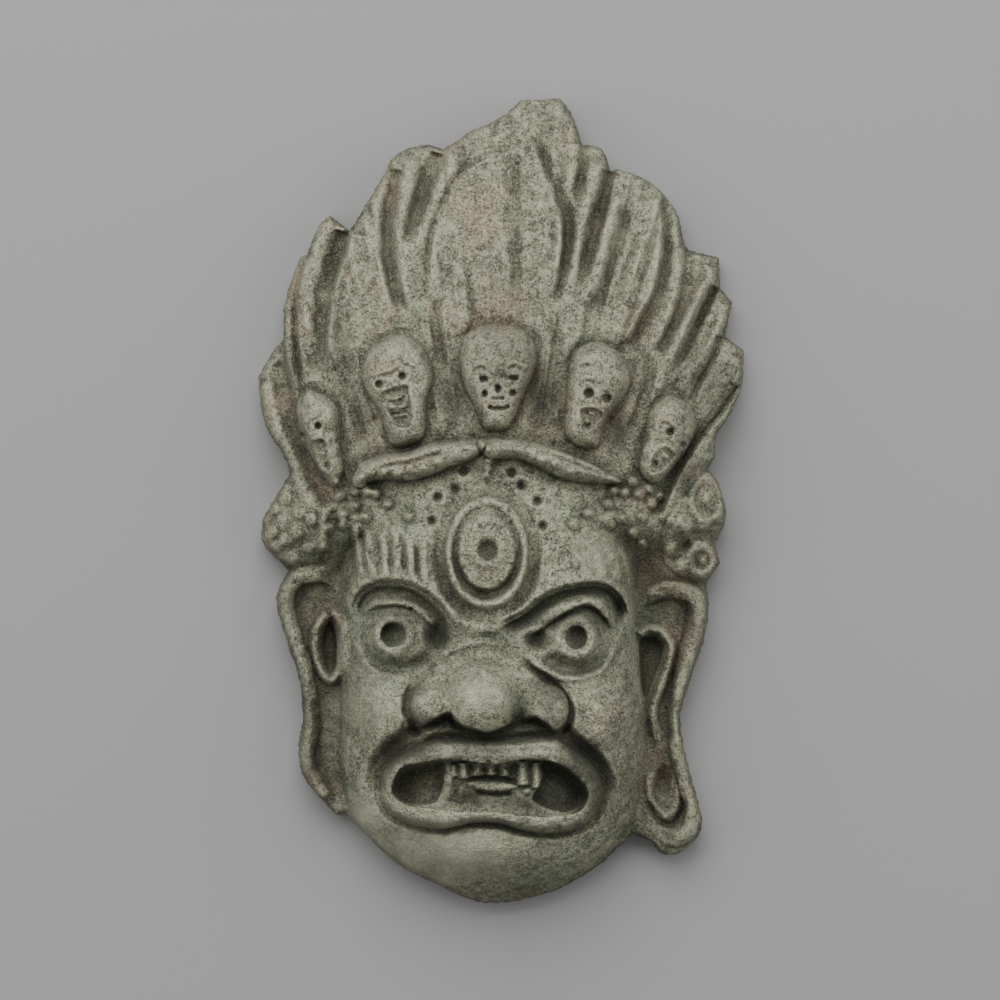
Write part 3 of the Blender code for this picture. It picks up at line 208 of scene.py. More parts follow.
def silhouette():
    """The whole outline as one closed line."""
    line = np.vstack([smooth(run, 4)[:-1] for run in SILHOUETTE])
    return np.vstack([line, line[:1]])


def step(low, high, value):
    """Goes softly from 0 at low to 1 at high."""
    t = np.clip((value - low) / (high - low), 0, 1)
    return t * t * (3 - 2 * t)


def soft_bump(u):
    """1 in the middle, falling softly to 0 at 1."""
    return np.clip(1 - u * u, 0, None) ** 2


def half_round(u):
    """The profile of a round rod."""
    return np.sqrt(np.clip(1 - u * u, 0, None))


def flat_pit(u):
    """The profile of a drilled hole with a nearly flat bottom."""
    return np.clip(1 - u**3, 0, 1)


def quarter_round(t):
    """Rises from 0 to 1 like a rounded edge."""
    return np.sqrt(1 - (1 - np.clip(t, 0, 1)) ** 2)


def blend_up(a, b, width):
    """The higher of two surfaces, with a fillet between them."""
    d = np.clip(0.5 + 0.5 * (a - b) / width, 0, 1)
    return b + (a - b) * d + width * d * (1 - d)


def blur(z, sigma):
    """A soft copy of the heights; sigma counts grid steps."""
    pad = int(3 * sigma) + 1
    wide = np.pad(z, pad, mode="edge")
    fy = np.fft.fftfreq(wide.shape[0])[:, None]
    fx = np.fft.rfftfreq(wide.shape[1])[None, :]
    gain = np.exp(-2 * (math.pi * sigma) ** 2 * (fx**2 + fy**2))
    soft = np.fft.irfft2(np.fft.rfft2(wide) * gain, s=wide.shape)
    return soft[pad:-pad, pad:-pad]


def lowest_near(z, steps):
    """The lowest height within a square of the given half-width."""
    low = z.copy()
    for axis in (0, 1):
        source = low.copy()
        for shift in range(1, steps + 1):
            low = np.minimum(low, np.roll(source, shift, axis))
            low = np.minimum(low, np.roll(source, -shift, axis))
    return low


def between(field, below, left, v, u):
    """The field's values between four of its points, v of the way up and u of the way to the right."""
    lower = field[below, left] * (1 - u) + field[below, left + 1] * u
    upper = field[below + 1, left] * (1 - u) + field[below + 1, left + 1] * u
    return lower * (1 - v) + upper * v


class Carving:
    """Heights over a grid of points, shaped by strokes like a carver's, in drawn millimetres."""

    def __init__(self, pitch):
        self.pitch = pitch
        half_x, half_y = DRAWN_HALF_SIZE
        self.xs = np.arange(DRAWN_CENTRE[0] - half_x, DRAWN_CENTRE[0] + half_x, pitch)
        self.ys = np.arange(DRAWN_CENTRE[1] - half_y, DRAWN_CENTRE[1] + half_y, pitch)
        self.x, self.y = np.meshgrid(self.xs, self.ys)
        self.z = np.zeros_like(self.x)

    def window(self, line, reach):
        """The rows and columns of the grid within reach of a line's box."""
        line = np.asarray(line, float)
        x0, y0 = line.min(axis=0) - reach
        x1, y1 = line.max(axis=0) + reach
        rows = slice(*np.searchsorted(self.ys, (y0, y1)))
        columns = slice(*np.searchsorted(self.xs, (x0, x1)))
        return rows, columns

    def along(self, line, reach):
        """Distance from a line, share of the way along it and side (1 is its left) of near points."""
        area = self.window(line, reach)
        x = self.x[area]
        y = self.y[area]
        distance = np.full(x.shape, reach * 1.001)
        share = np.zeros(x.shape)
        side = np.ones(x.shape)
        lengths = np.hypot(*np.diff(line, axis=0).T)
        done = 0.0
        for start, end, length in zip(line, line[1:], lengths):
            rows, columns = self.window([start, end], reach)
            part = (
                slice(rows.start - area[0].start, rows.stop - area[0].start),
                slice(columns.start - area[1].start, columns.stop - area[1].start),
            )
            ex, ey = (end - start) / max(length, 1e-9)
            px = x[part] - start[0]
            py = y[part] - start[1]
            t = np.clip(px * ex + py * ey, 0, length)
            dx = px - t * ex
            dy = py - t * ey
            found = np.hypot(dx, dy)
            near = found < distance[part]
            distance[part] = np.where(near, found, distance[part])
            share[part] = np.where(near, (done + t) / lengths.sum(), share[part])
            side[part] = np.where(near, np.where(ex * dy >= ey * dx, 1.0, -1.0), side[part])
            done += length
        return area, distance, share, side

    def inside(self, ring, reach):
        """Signed distance from a closed line, positive inside, for the points around it."""
        area, distance, _, _ = self.along(ring, reach)
        x = self.x[area]
        y = self.y[area][:, 0]
        odd = np.zeros(x.shape, bool)
        for (ax, ay), (bx, by) in zip(ring, ring[1:]):
            if ay == by:
                continue
            rows = slice(*np.searchsorted(y, (min(ay, by), max(ay, by)), side="right"))
            crossing = ax + (y[rows] - ay) * (bx - ax) / (by - ay)
            odd[rows] ^= x[rows] < crossing[:, None]
        return area, np.where(odd, distance, -distance)

    def ridge(self, points, width, height, fade=0.2, profile=soft_bump):
        """A ridge along a curve, fading out at its ends; the fade is a share of its length."""
        area, distance, share, _ = self.along(smooth(points), width)
        self.z[area] += height * profile(distance / width) * fading(share, fade)

    def groove(self, points, width, depth, fade=0.2):
        """A ridge turned downwards."""
        self.ridge(points, width, -depth, fade)

    def lap(self, points, rise, spread, cut, cut_width, high, fade=0.15, soft=1.6):
        """One fold over the next: the high side (1 is the left) stands up, the other is cut in."""
        area, distance, share, side = self.along(smooth(points), max(spread, cut_width))
        near = step(0, soft, distance)
        up = rise * np.clip(1 - distance / spread, 0, 1) ** 1.5
        down = -cut * soft_bump(distance / cut_width)
        middle = 0.5 * (rise - cut)
        value = middle + (np.where(side == high, up, down) - middle) * near
        self.z[area] += value * fading(share, fade)

    def knob(self, x, y, radius, height, radius_y=None, profile=soft_bump):
        """A round or oval boss."""
        radius_y = radius_y or radius
        area = self.window([(x, y)], max(radius, radius_y))
        u = np.hypot((self.x[area] - x) / radius, (self.y[area] - y) / radius_y)
        self.z[area] += height * profile(u)

    def pit(self, x, y, radius, depth, radius_y=None, profile=soft_bump):
        """A boss turned downwards."""
        self.knob(x, y, radius, -depth, radius_y, profile)

    def pad(self, points, height, rounding):
        """A raised field inside a closed curve, with a rounded edge."""
        area, depth = self.inside(ring_through(points), rounding + 1)
        self.z[area] += height * quarter_round(depth / rounding)

    def moat(self, points, width, depth):
        """A soft groove around a closed curve."""
        area, distance, _, _ = self.along(ring_through(points), width)
        self.z[area] -= depth * soft_bump(distance / width)

    def hoop(self, x, y, radius, width, height, squash=1.0):
        """A ring-shaped ridge."""
        area = self.window([(x, y)], radius * max(1.0, squash) + width)
        r = np.hypot(self.x[area] - x, (self.y[area] - y) / squash)
        self.z[area] += height * soft_bump((r - radius) / width)

    def mound(self, x, y, radius_x, radius_y, base, top):
        """The upper half of an ellipsoid as heights of its own, zero outside."""
        u = ((self.x - x) / radius_x) ** 2 + ((self.y - y) / radius_y) ** 2
        return np.where(u < 1, base + (top - base) * np.sqrt(np.clip(1 - u, 0, 1)), 0)


def fading(share, fade):
    """Fades both ends of a stroke; a pair gives the first and the last end."""
    first, last = fade if isinstance(fade, tuple) else (fade, fade)
    return step(0, first, share) * step(0, last, 1 - share)


def carve_masses(carving):
    """The fan of hair, the low ears and the swelling face."""
    x, y = carving.x, carving.y
    spread = ((x - HAIR_CENTRE[0]) / HAIR_REACH[0]) ** 2 + ((y - HAIR_CENTRE[1]) / HAIR_REACH[1]) ** 2
    fan = np.maximum(HAIR_EDGE_HEIGHT + HAIR_RISE * (1 - spread), EAR_HEIGHT)
    ears = step(EARS_FROM, EARS_FULL, y)
    around = fan * (1 - ears) + EAR_HEIGHT * ears
    area, depth = carving.inside(ring_through(FACE_EDGE), FACE_SHOULDER + 2)
    steep, full = SWELL_POWERS
    swell = (1 - (1 - np.clip(depth / FACE_SHOULDER, 0, 1)) ** steep) ** full
    middle = np.interp(y[area], FACE_MIDDLE_Y, FACE_MIDDLE_Z)
    face = np.zeros_like(x)
    face[area] = FACE_EDGE_HEIGHT + (middle - FACE_EDGE_HEIGHT) * swell
    face[area] -= 6 * step(0, -3, depth) + 40 * step(-2, -8, depth)
    face = blur(np.maximum(face, 0), FACE_SOFTNESS / carving.pitch)
    carving.z = blend_up(around, face, FACE_SOFTNESS)


# Locks of hair that stand up like flames. A fold is a line where one lock's crisp edge stands over the
# next: its rise, the rise's spread, its cut, the cut's width, the high side (1 is the left) and fades.
HAIR_FOLDS = (
    (2.2, 12, 2.0, 4.5, -1, (0.25, 0.05),
     [(-36, 88), (-36, 105), (-35, 122), (-33.5, 132), (-30, 142), (-26, 151), (-20, 161), (-9, 170),
      (14, 178)]),
    (4.5, 16, 4.0, 7, -1, (0.05, 0.15),
     [(14, 178), (18, 176), (22.5, 164), (27.5, 151), (31, 140), (31.5, 127), (30, 116), (28, 107),
      (24, 97)]),
    (3.0, 12, 3.0, 6, -1, (0.02, 0.4), [(40, 178), (40, 170), (38, 160), (36, 150)]),
    (6.5, 18, 5.0, 9, 1, (0.02, 0.2),
     [(-74.5, 134), (-77.5, 122), (-81.5, 112), (-83.5, 102), (-85.5, 90), (-86.5, 75), (-86, 60)]),
    (3.0, 10, 4.0, 6, 1, (0.02, 0.2),
     [(-97, 122), (-100.5, 108), (-101.5, 90), (-100.5, 75), (-96, 45)]),
    (3.5, 12, 3.5, 7, 1, (0.02, 0.2), [(-108, 80), (-106, 66), (-101, 45), (-94, 25), (-88, 8)]),
    (6.0, 20, 5.5, 8, -1, (0.03, 0.12),
     [(80, 152), (81.5, 140), (81, 125), (79, 112), (76, 102), (71.5, 94), (65, 82), (59, 74)]),
    (2.5, 12, 4.0, 7, -1, (0.03, 0.3), [(92, 126), (91, 112), (88, 98), (82, 84), (74, 70)]),
    (3.0, 10, 4.0, 6.5, 1, (0.02, 0.3), [(109, 106), (98.5, 86), (91, 70), (84, 58)]),
    (3.0, 10, 4.0, 6.5, 1, (0.02, 0.3), [(112, 81), (107, 70), (101, 60), (95, 48)]),
    (5.0, 14, 5.0, 8, 1, (0.02, 0.05), [(120, 57), (110, 42), (99, 29), (90, 15), (83, 0), (79, -12)]),
)

# The fine furrows fan out from a point on the middle line: angle between them, length and height.
COMB_FOOT = -120.0
COMB_CELLS = 240
COMBED_FROM = (24, 48)
COMBS = ((0.030, 70.0, 1.5), (0.0135, 48.0, 1.1), (0.0065, 30.0, 0.5))

# Rounded strands and, with a negative height, the furrows between them: height, width, fades and line.
HAIR_STRANDS = (
    (1.5, 5, 0.25, [(3, 173), (1.5, 160), (0.5, 145), (0, 120), (2, 92)]),
    (-2.0, 4, 0.15, [(8.5, 176), (8, 150), (8, 125), (8, 95)]),
    (1.2, 6, 0.3, [(13, 168), (13, 145), (14, 120), (14, 100)]),
    (-1.1, 4, 0.3, [(-7, 165), (-9, 150), (-12, 132), (-9, 120)]),
    (-1.5, 3.5, 0.25, [(22.5, 153), (26, 138), (26, 125), (23, 112)]),
    (1.4, 4, 0.3, [(-13, 115), (-11, 105), (-10, 90)]),
    (1.2, 4, 0.3, [(1, 135), (3, 118), (2, 102)]),
    (-3.2, 4.5, 0.2, [(-31, 104), (-32, 92), (-31, 80), (-29, 66)]),
    (4.0, 7, (0.05, 0.3),
     [(-22, 174), (-25, 165), (-30, 155), (-36, 142), (-40, 132), (-43, 121), (-44, 106)]),
    (-5.0, 6.5, (0.03, 0.3),
     [(-31, 174), (-35, 162), (-38.5, 152), (-42, 142), (-45.5, 132), (-47, 123)]),
    (5.0, 7.5, (0.05, 0.25),
     [(-43, 172), (-47, 157), (-49, 145), (-50.5, 132), (-50, 120), (-48, 108), (-45, 95), (-43, 84)]),
    (-5.2, 6, (0.03, 0.2),
     [(-52, 166), (-54.5, 150), (-56, 135), (-55, 120), (-53, 108), (-50, 97), (-45, 87)]),
    (2.6, 5, (0.05, 0.2),
     [(-57, 162), (-59.5, 145), (-60.5, 130), (-59, 117), (-56, 105), (-52, 94), (-47, 85)]),
    (-1.4, 5, 0.3, [(-69, 138), (-70, 124), (-68, 108)]),
    (1.2, 4, 0.3, [(-64, 144), (-65.5, 125), (-64, 106)]),
    (-2.2, 4, (0.1, 0.3), [(-76, 120), (-79, 106), (-81, 90), (-81, 70)]),
    (-4.0, 6, (0.03, 0.35), [(-79, 135), (-82.5, 122), (-86, 110), (-88, 98)]),
    (4.0, 6, (0.05, 0.3), [(-88, 141), (-92, 122), (-95.5, 108), (-96.5, 92), (-95, 72)]),
    (2.6, 4, (0.05, 0.3), [(-103.5, 118), (-105.5, 100), (-105.5, 82), (-101, 56)]),
    (3.2, 7, (0.05, 0.1), [(-119, 60), (-114, 42), (-107, 24), (-98, 6), (-90, -10)]),
    (-3.2, 6, (0.05, 0.1), [(-112, 70), (-108, 50), (-101, 30), (-92, 10), (-86, -6)]),
    (1.6, 3, (0.1, 0.1), [(-4, 179), (6, 184)]),
    (2.6, 9, (0.1, 0.4), [(22, 199), (32, 186), (38, 172), (40, 158)]),
    (2.2, 5, (0.1, 0.4), [(37, 169), (35, 158), (33, 150)]),
    (-4.0, 5, (0.2, 0.25), [(32.5, 150), (34.5, 138), (34.5, 128), (33.5, 118), (36, 108)]),
    (5.0, 6.5, (0.05, 0.3),
     [(49, 170), (46, 156), (42, 142), (40, 130), (37, 120), (34, 108), (31, 98)]),
    (-5.2, 6.5, (0.03, 0.3), [(56, 165), (52.5, 152), (48.5, 142), (45, 130), (42, 118), (40, 105)]),
    (5.0, 5.5, (0.08, 0.2), [(60, 154), (56, 140), (53, 131), (50, 119), (46, 106), (42, 96)]),
    (-2.8, 4.5, (0.1, 0.15), [(62, 148), (62, 132), (57, 118), (52, 106), (47, 96), (43, 88)]),
    (2.2, 4.5, 0.3, [(67, 140), (63, 127), (59, 117), (54, 104)]),
    (-2.2, 4.5, 0.3, [(70, 140), (66.5, 125), (61, 110), (55, 97)]),
    (2.5, 7, 0.25, [(86, 140), (89, 128), (88, 114), (84, 100)]),
    (4.6, 6, (0.03, 0.3), [(107, 117), (104, 108), (99, 98), (94, 88), (89, 76), (83, 62)]),
    (-4.5, 5, (0.03, 0.3), [(109, 107), (103, 97), (98, 85), (94, 76), (89, 64)]),
    (-2.4, 5, (0.05, 0.3), [(98, 121), (95, 106), (89, 90), (82, 76)]),
    (3.8, 6, (0.03, 0.3), [(114, 98), (110, 86), (104, 73), (97, 60)]),
    (3.0, 8, (0.05, 0.3), [(119, 72), (113, 60), (105, 46), (98, 32)]),
    (-3.0, 5, 0.25, [(-29, 88), (-27, 72), (-22, 54)]),
    (-2.2, 5, 0.25, [(-35, 96), (-31, 80), (-28, 60), (-27, 40)]),
    (-3.0, 5, 0.25, [(26, 90), (29, 74), (28, 56), (30, 40)]),
    (-3.2, 5, 0.25, [(-74, 78), (-76, 62), (-72, 44), (-68, 26)]),
    (-3.2, 5, 0.25, [(72, 78), (74, 62), (70, 44), (62, 30)]),
)


def carve_hair(carving):
    """Overlapping locks that stand up like flames, each with a crisp edge over the next."""
    for rise, spread, cut, cut_width, high, fade, line in HAIR_FOLDS:
        carving.lap(line, rise, spread, cut, cut_width, high, fade)
    for height, width, fade, line in HAIR_STRANDS:
        carving.ridge(line, width, height, fade)
    small_leaf = [(-22, 120), (-16, 108), (-14, 95), (-16, 84), (-26, 82), (-29, 94), (-28, 107)]
    carving.pad(small_leaf, 1.9, 6)
    carving.pit(15, 196.5, 6, 2.2, radius_y=4)


def comb_hair(carving):
    """Fine furrows that fan out along the locks, but not over the skulls."""
    turn = np.arctan2(carving.x, carving.y - COMB_FOOT)
    reach = np.hypot(carving.x, carving.y - COMB_FOOT)
    combed = np.zeros_like(carving.z)
    for seed, (gap, length, height) in enumerate(COMBS):
        table = np.random.default_rng(seed).uniform(-1, 1, (COMB_CELLS, COMB_CELLS))
        across = turn / gap + COMB_CELLS / 2
        along = reach / length
        left = np.clip(across.astype(int), 0, COMB_CELLS - 2)
        below = np.clip(along.astype(int), 0, COMB_CELLS - 2)
        u = step(0, 1, across - left)
        v = step(0, 1, along - below)
        combed += height * between(table, below, left, v, u)
    combed *= step(*COMBED_FROM, carving.y)
    for shape in SKULL_SHAPES:
        area, depth = carving.inside(ring_through(shape), 4)
        combed[area] *= step(1, -3, depth)
    carving.z += combed


# Knots as x, y and radius; lobes as x, y, radius and how much taller than wide.
LEFT_KNOTS = ((-113, -4.5, 4.2), (-109, -11.5, 5.2), (-114, -16, 4.6), (-107, -20, 5), (-112, -23, 4.2),
              (-101.5, -16, 5), (-103.5, -28.5, 4.8), (-106.8, 1, 4.6), (-108, 6, 3.8), (-100, -6.5, 5),
              (-96, -24, 4.6), (-94, -10, 4.4))
RIGHT_LOBES = ((103.5, 0.5, 8.0, 1.3), (101, -30, 6.2, 1.1))
RIGHT_KNOTS = ((91, -13, 6.5), (90.5, -33, 5.5), (101, -13, 5.0), (109, -8, 4.0), (85, -24, 5.0))

# Outlines of the two rosettes.
LEFT_ROSETTE = [(-104, 14), (-113, 0), (-118, -12), (-118, -20), (-106, -33), (-95, -34), (-88, -26),
                (-86, -10), (-92, 6)]
RIGHT_ROSETTE = [(104, 15), (111, 2), (112, -12), (107, -21), (109, -31), (103, -41), (94, -40),
                 (84, -34), (80, -22), (84, -8), (92, 2)]


def carve_ornaments(carving):
    """The knotted rosettes over the ears."""
    carving.pad(LEFT_ROSETTE, 4, 12)
    for x, y, radius in LEFT_KNOTS:
        carving.knob(x, y, radius, 4.0)
        carving.pit(x, y, 0.45 * radius, 1.6)
    carving.pad(RIGHT_ROSETTE, 4.5, 12)
    for x, y, radius, squash in RIGHT_LOBES:
        carving.hoop(x, y, radius, 3.4, 3.0, squash)
        carving.knob(x, y, 0.5 * radius, 2.6, radius_y=0.5 * radius * squash)
    for x, y, radius in RIGHT_KNOTS:
        carving.knob(x, y, radius, 3.4)
    carving.groove([(113, -19), (99, -17), (88, -23)], 4, 3.4)
    carving.knob(86, -34, 13, 6)
    carving.knob(-86, -26, 13, 6)
    carving.groove([(96, -20), (90, -25), (84, -32)], 3.5, 2.6)


# Lines of each ear: its rolled rim, its bowl and the cut in it, its loop and its slit.
LEFT_RIM = [(-82, -38.5), (-92, -37), (-101, -39), (-106.3, -46), (-106.8, -55), (-103, -69),
            (-98.5, -83), (-96, -96), (-94.6, -107), (-95, -118), (-97, -129), (-92.5, -141),
            (-86, -152)]
RIGHT_RIM = [(68, -50), (73, -48), (80, -45.2), (88, -45), (95, -46.6), (98.6, -51), (98.6, -61),
             (94, -78), (90, -96), (88.2, -110), (90, -128), (94.5, -144), (97, -155), (95.5, -164),
             (88, -169), (81, -166)]
LEFT_BOWL = [(-84, -43), (-96, -42), (-101.5, -50), (-99, -66), (-94, -84), (-91.5, -105),
             (-91.5, -125), (-84, -146), (-79, -130), (-80, -60)]
RIGHT_BOWL = [(73, -50), (86, -49), (94, -52), (93.5, -64), (88, -80), (83, -98), (83, -115),
              (86, -136), (84, -150), (77, -158), (74, -140), (72, -80)]
RIGHT_BOWL_CUT = [(90, -50.5), (94.5, -56), (92, -72), (86, -90), (84, -108), (86.5, -124)]
LEFT_BOWL_CUT = [(-93, -98), (-91.5, -112), (-92, -124), (-90.5, -138)]
LEFT_LOOP = [(-85.8, -55.9), (-92, -65.3), (-92.6, -74), (-90, -84.2), (-84.7, -90), (-79.8, -84.2),
             (-78.8, -73.7), (-79.2, -63.2), (-81.5, -58), (-85, -56)]
RIGHT_LOOP = [(68, -67.5), (75, -64.3), (82.5, -67.5), (85.6, -74), (83.5, -84.7), (79.4, -95.4),
              (76.5, -106), (79, -118.5), (84, -132)]
LEFT_SLIT = [(-84.8, -60.5), (-88.6, -67), (-89, -76), (-86.5, -85), (-82.4, -84), (-81.6, -70)]
RIGHT_SLIT = [(70, -69.5), (76, -68.5), (81, -72), (80.5, -80), (77, -89), (72.8, -99), (70, -92),
              (69.5, -80)]
LOBE_LOOP = [(77, -134), (74.6, -142.5), (77, -151.5), (83, -158), (88.6, -151), (88, -139)]
LOBE_CUT = [(73, -149), (77.5, -158), (85, -162.6), (91.5, -156), (92, -147)]


def carve_ears(carving):
    """Long ears: a rolled rim round a sunk bowl, and a looped slit beside the cheek."""
    rim_height = 7.0
    bowl_depth = 1.8
    carving.ridge(LEFT_RIM, 4.6, rim_height, fade=(0.08, 0.04), profile=half_round)
    carving.ridge(RIGHT_RIM, 4.8, rim_height, fade=(0.06, 0.06), profile=half_round)
    carving.pad(LEFT_BOWL, -bowl_depth, 4)
    carving.pad(RIGHT_BOWL, -bowl_depth, 4)
    carving.groove(RIGHT_BOWL_CUT, 3.2, 2.6, fade=0.1)
    carving.groove(LEFT_BOWL_CUT, 3.4, 3.0, fade=0.1)
    loop_height = 6.5
    carving.ridge(LEFT_LOOP, 4.2, loop_height, fade=0.02)
    carving.ridge(RIGHT_LOOP, 4.2, loop_height, fade=(0.03, 0.35))
    carving.pad(LEFT_SLIT, -8, 2.6)
    carving.pad(RIGHT_SLIT, -8, 2.8)
    carving.pit(81.5, -140.5, 4.8, 5.5, radius_y=10)
    carving.ridge(LOBE_LOOP, 3, 2.6, fade=0.1)
    carving.groove(LOBE_CUT, 2.6, 3.0, fade=0.15)


# Places of the beads and drilled pits, and the lines of the frown.
LEFT_BEADS = ((-56, -2), (-45.5, -8), (-72.5, -3), (-78.5, -7.5), (-67, -8.5), (-80, 2), (-80.5, 8),
              (-78, -12), (-85, -14), (-62, 3.5), (-72, 5))
RIGHT_BEADS = ((44, -6.5), (53.5, -2), (37, -12), (62, 4), (66, 9), (69.5, 3), (76, -1.5), (61, -9.5),
               (66, -16.5), (70.5, -8.5), (74, 6), (79, -8), (71, -22), (57, 5), (80, 2))
FOREHEAD_PITS = ((-18, 14.5), (-22.5, 5.5), (-31, 1.5), (-33.5, -10.5), (6, 14), (10.5, 7),
                 (18.5, -0.5), (21, -13))
LEFT_FROWNS = (
    [(-72, -10), (-71, -24), (-69, -40)], [(-66, -12), (-65.5, -26), (-62, -41)],
    [(-60, -15), (-57.5, -26), (-57, -40)], [(-53.5, -13), (-51, -24), (-51.5, -38)],
    [(-46, -16), (-44.5, -28), (-44, -40)], [(-38.5, -18), (-38, -30), (-37, -42)],
)
RIGHT_FROWNS = (
    [(45, -22), (50, -31), (52, -41)], [(52, -20), (57, -30), (60, -42)],
    [(60, -22), (64, -33), (66, -45)], [(38, -26), (42, -33), (44, -40)],
)


def carve_forehead(carving):
    """Strings of beads, drilled pits and frown lines."""
    for x, y in LEFT_BEADS + RIGHT_BEADS:
        carving.pit(x, y, 6.5, 2.0)
        carving.knob(x, y, 4.0, 6.0)
    for x, y in FOREHEAD_PITS:
        carving.pit(x, y, 3.6, 3.8)
    carving.ridge([(-84, -1), (-87.5, -8), (-88, -18), (-87, -27)], 3.6, 4.5, fade=0.15)
    for frowns, height in ((LEFT_FROWNS, 2.2), (RIGHT_FROWNS, 1.2)):
        for line in frowns:
            carving.ridge(line, 3.0, height, fade=0.25)
            carving.groove([(x - 3.2, y) for x, y in line], 2.2, 0.5 * height, fade=0.25)


def carve_third_eye(carving):
    """The upright eye of the forehead, a dome with a drilled pupil in a raised frame."""
    x, y, radius_x, radius_y = -6.5, -26.0, 18.5, 25.0
    area = carving.window([(x, y)], 40)
    up = (carving.y[area] - y) / radius_y
    r = np.hypot((carving.x[area] - x) / radius_x, up)
    outwards = (r - 1) * (radius_x + radius_y) / 2
    lower = step(0.6, -0.8, up)
    carving.z[area] += 6.4 * half_round(np.minimum(r / 1.12, 1))
    carving.z[area] += (1.6 + 2.6 * lower) * soft_bump((outwards - 1.0) / 3.2)
    carving.z[area] -= (2.2 + 1.6 * lower) * soft_bump((outwards + 3.6) / 3.4)
    carving.z[area] -= (2.0 + 1.8 * lower) * soft_bump((outwards - 7.0) / 5)
    carving.pit(-6, -25, 5.6, 5.0, profile=flat_pit)
    carving.hoop(-6, -25, 7.4, 1.8, 0.8)


# Lines of the brows, the upper lids and the folds round the eyes.
LEFT_BROW = [(-74, -60), (-72, -52), (-69, -46.5), (-62.5, -42.5), (-55, -41.5), (-45, -43),
             (-35, -48.5), (-27.5, -56), (-23, -66)]
RIGHT_BROW = [(-3, -64), (3, -60.5), (11, -56.5), (20, -49.5), (28.5, -45), (38.5, -42.8),
              (48.5, -42.2), (56, -45.5), (61, -52.5), (64, -63)]
LEFT_LID = [(-69, -59), (-66, -55.5), (-62, -53.2), (-57, -52.4), (-50, -52.2), (-45, -53.5),
            (-41, -55.5), (-36, -60), (-32, -64.5)]
RIGHT_LID = [(15, -68), (20, -64.5), (26, -60), (35, -54.8), (42, -52.5), (48, -54.5), (53.5, -60.5),
             (57, -66.5)]
LEFT_FOLD = [(-75, -64), (-72.5, -70), (-69.5, -77), (-65, -83), (-58, -87)]
RIGHT_FOLD = [(61.5, -62), (59.5, -69), (56, -76), (51, -83.5), (43, -87.5), (32, -88.5), (21, -84),
              (11, -79)]


def carve_eyes(carving):
    """Knitted brows over two round eyes with heavy lids."""
    carving.lap(LEFT_BROW, 5.0, 18, 9.0, 11, high=1, fade=0.12, soft=3.6)
    carving.lap(RIGHT_BROW, 5.0, 18, 8.5, 9, high=1, fade=0.12, soft=2.6)
    carving.knob(-7, -61, 15, 4.5, radius_y=9)
    carving.knob(-52, -69, 22, 10, radius_y=17.5)
    carving.knob(38, -70, 25, 10.5, radius_y=18)
    carving.lap(LEFT_LID, 2.6, 5, 2.6, 5, high=1, fade=0.12, soft=1.0)
    carving.ridge([(x, y + 4.0) for x, y in RIGHT_LID[1:]], 4.8, 3.2, fade=0.12)
    carving.lap(RIGHT_LID, 1.8, 5, 3.8, 5, high=1, fade=0.1, soft=1.0)
    carving.ridge(LEFT_FOLD, 2.4, 1.8, fade=0.2)
    carving.ridge(RIGHT_FOLD, 2.6, 2.2, fade=0.15)
    for hollow in (
        [(-68, -72), (-63, -79), (-55, -82.5), (-45, -82.5), (-36, -78), (-30, -70)],
        [(17, -73), (25, -79), (34, -83), (44, -83), (52, -78), (57, -69)],
    ):
        carving.groove(hollow, 5.0, 3.0, fade=0.2)
    carving.pit(-31, -68, 9, 8.5, radius_y=9)
    carving.pit(19, -70, 9, 7.5, radius_y=7)
    carving.pit(59, -53, 5, 3.6, radius_y=8)
    for x, y, iris, pupil, squash in ((-53, -67, 8.8, 6.6, 1.0), (37.8, -68.2, 9.0, 6.0, 1.06)):
        carving.hoop(x, y, iris, 2.6, 2.2, squash)
        carving.pit(x, y, pupil, 10, radius_y=pupil * squash, profile=flat_pit)
    carving.pit(-44, -54, 1.6, 2.5)
    carving.pit(-58, -75, 2.2, 1.6)


# The edge under the nose's wings and tip.
NOSE_FOOT = [(-45, -110), (-41, -113), (-34, -109.2), (-25.5, -105.4), (-22, -109), (-17.5, -112),
             (-11, -113.8), (-6.5, -115), (0, -113), (7.5, -110), (16.5, -107.2), (20.5, -109),
             (24.5, -111.5), (29, -116)]

# The cuts behind the nose's wings and under its tip.
RIGHT_WING_CUT = [(8, -77), (15, -83), (24, -89.5), (31, -97), (35, -105), (33.5, -112), (29, -117)]
LEFT_WING_CUT = [(-42, -90), (-45.5, -96), (-46.5, -104), (-43, -111), (-38, -115)]
TIP_CUT = [(-37, -116), (-22, -118), (-5, -119), (12, -118), (27, -117)]


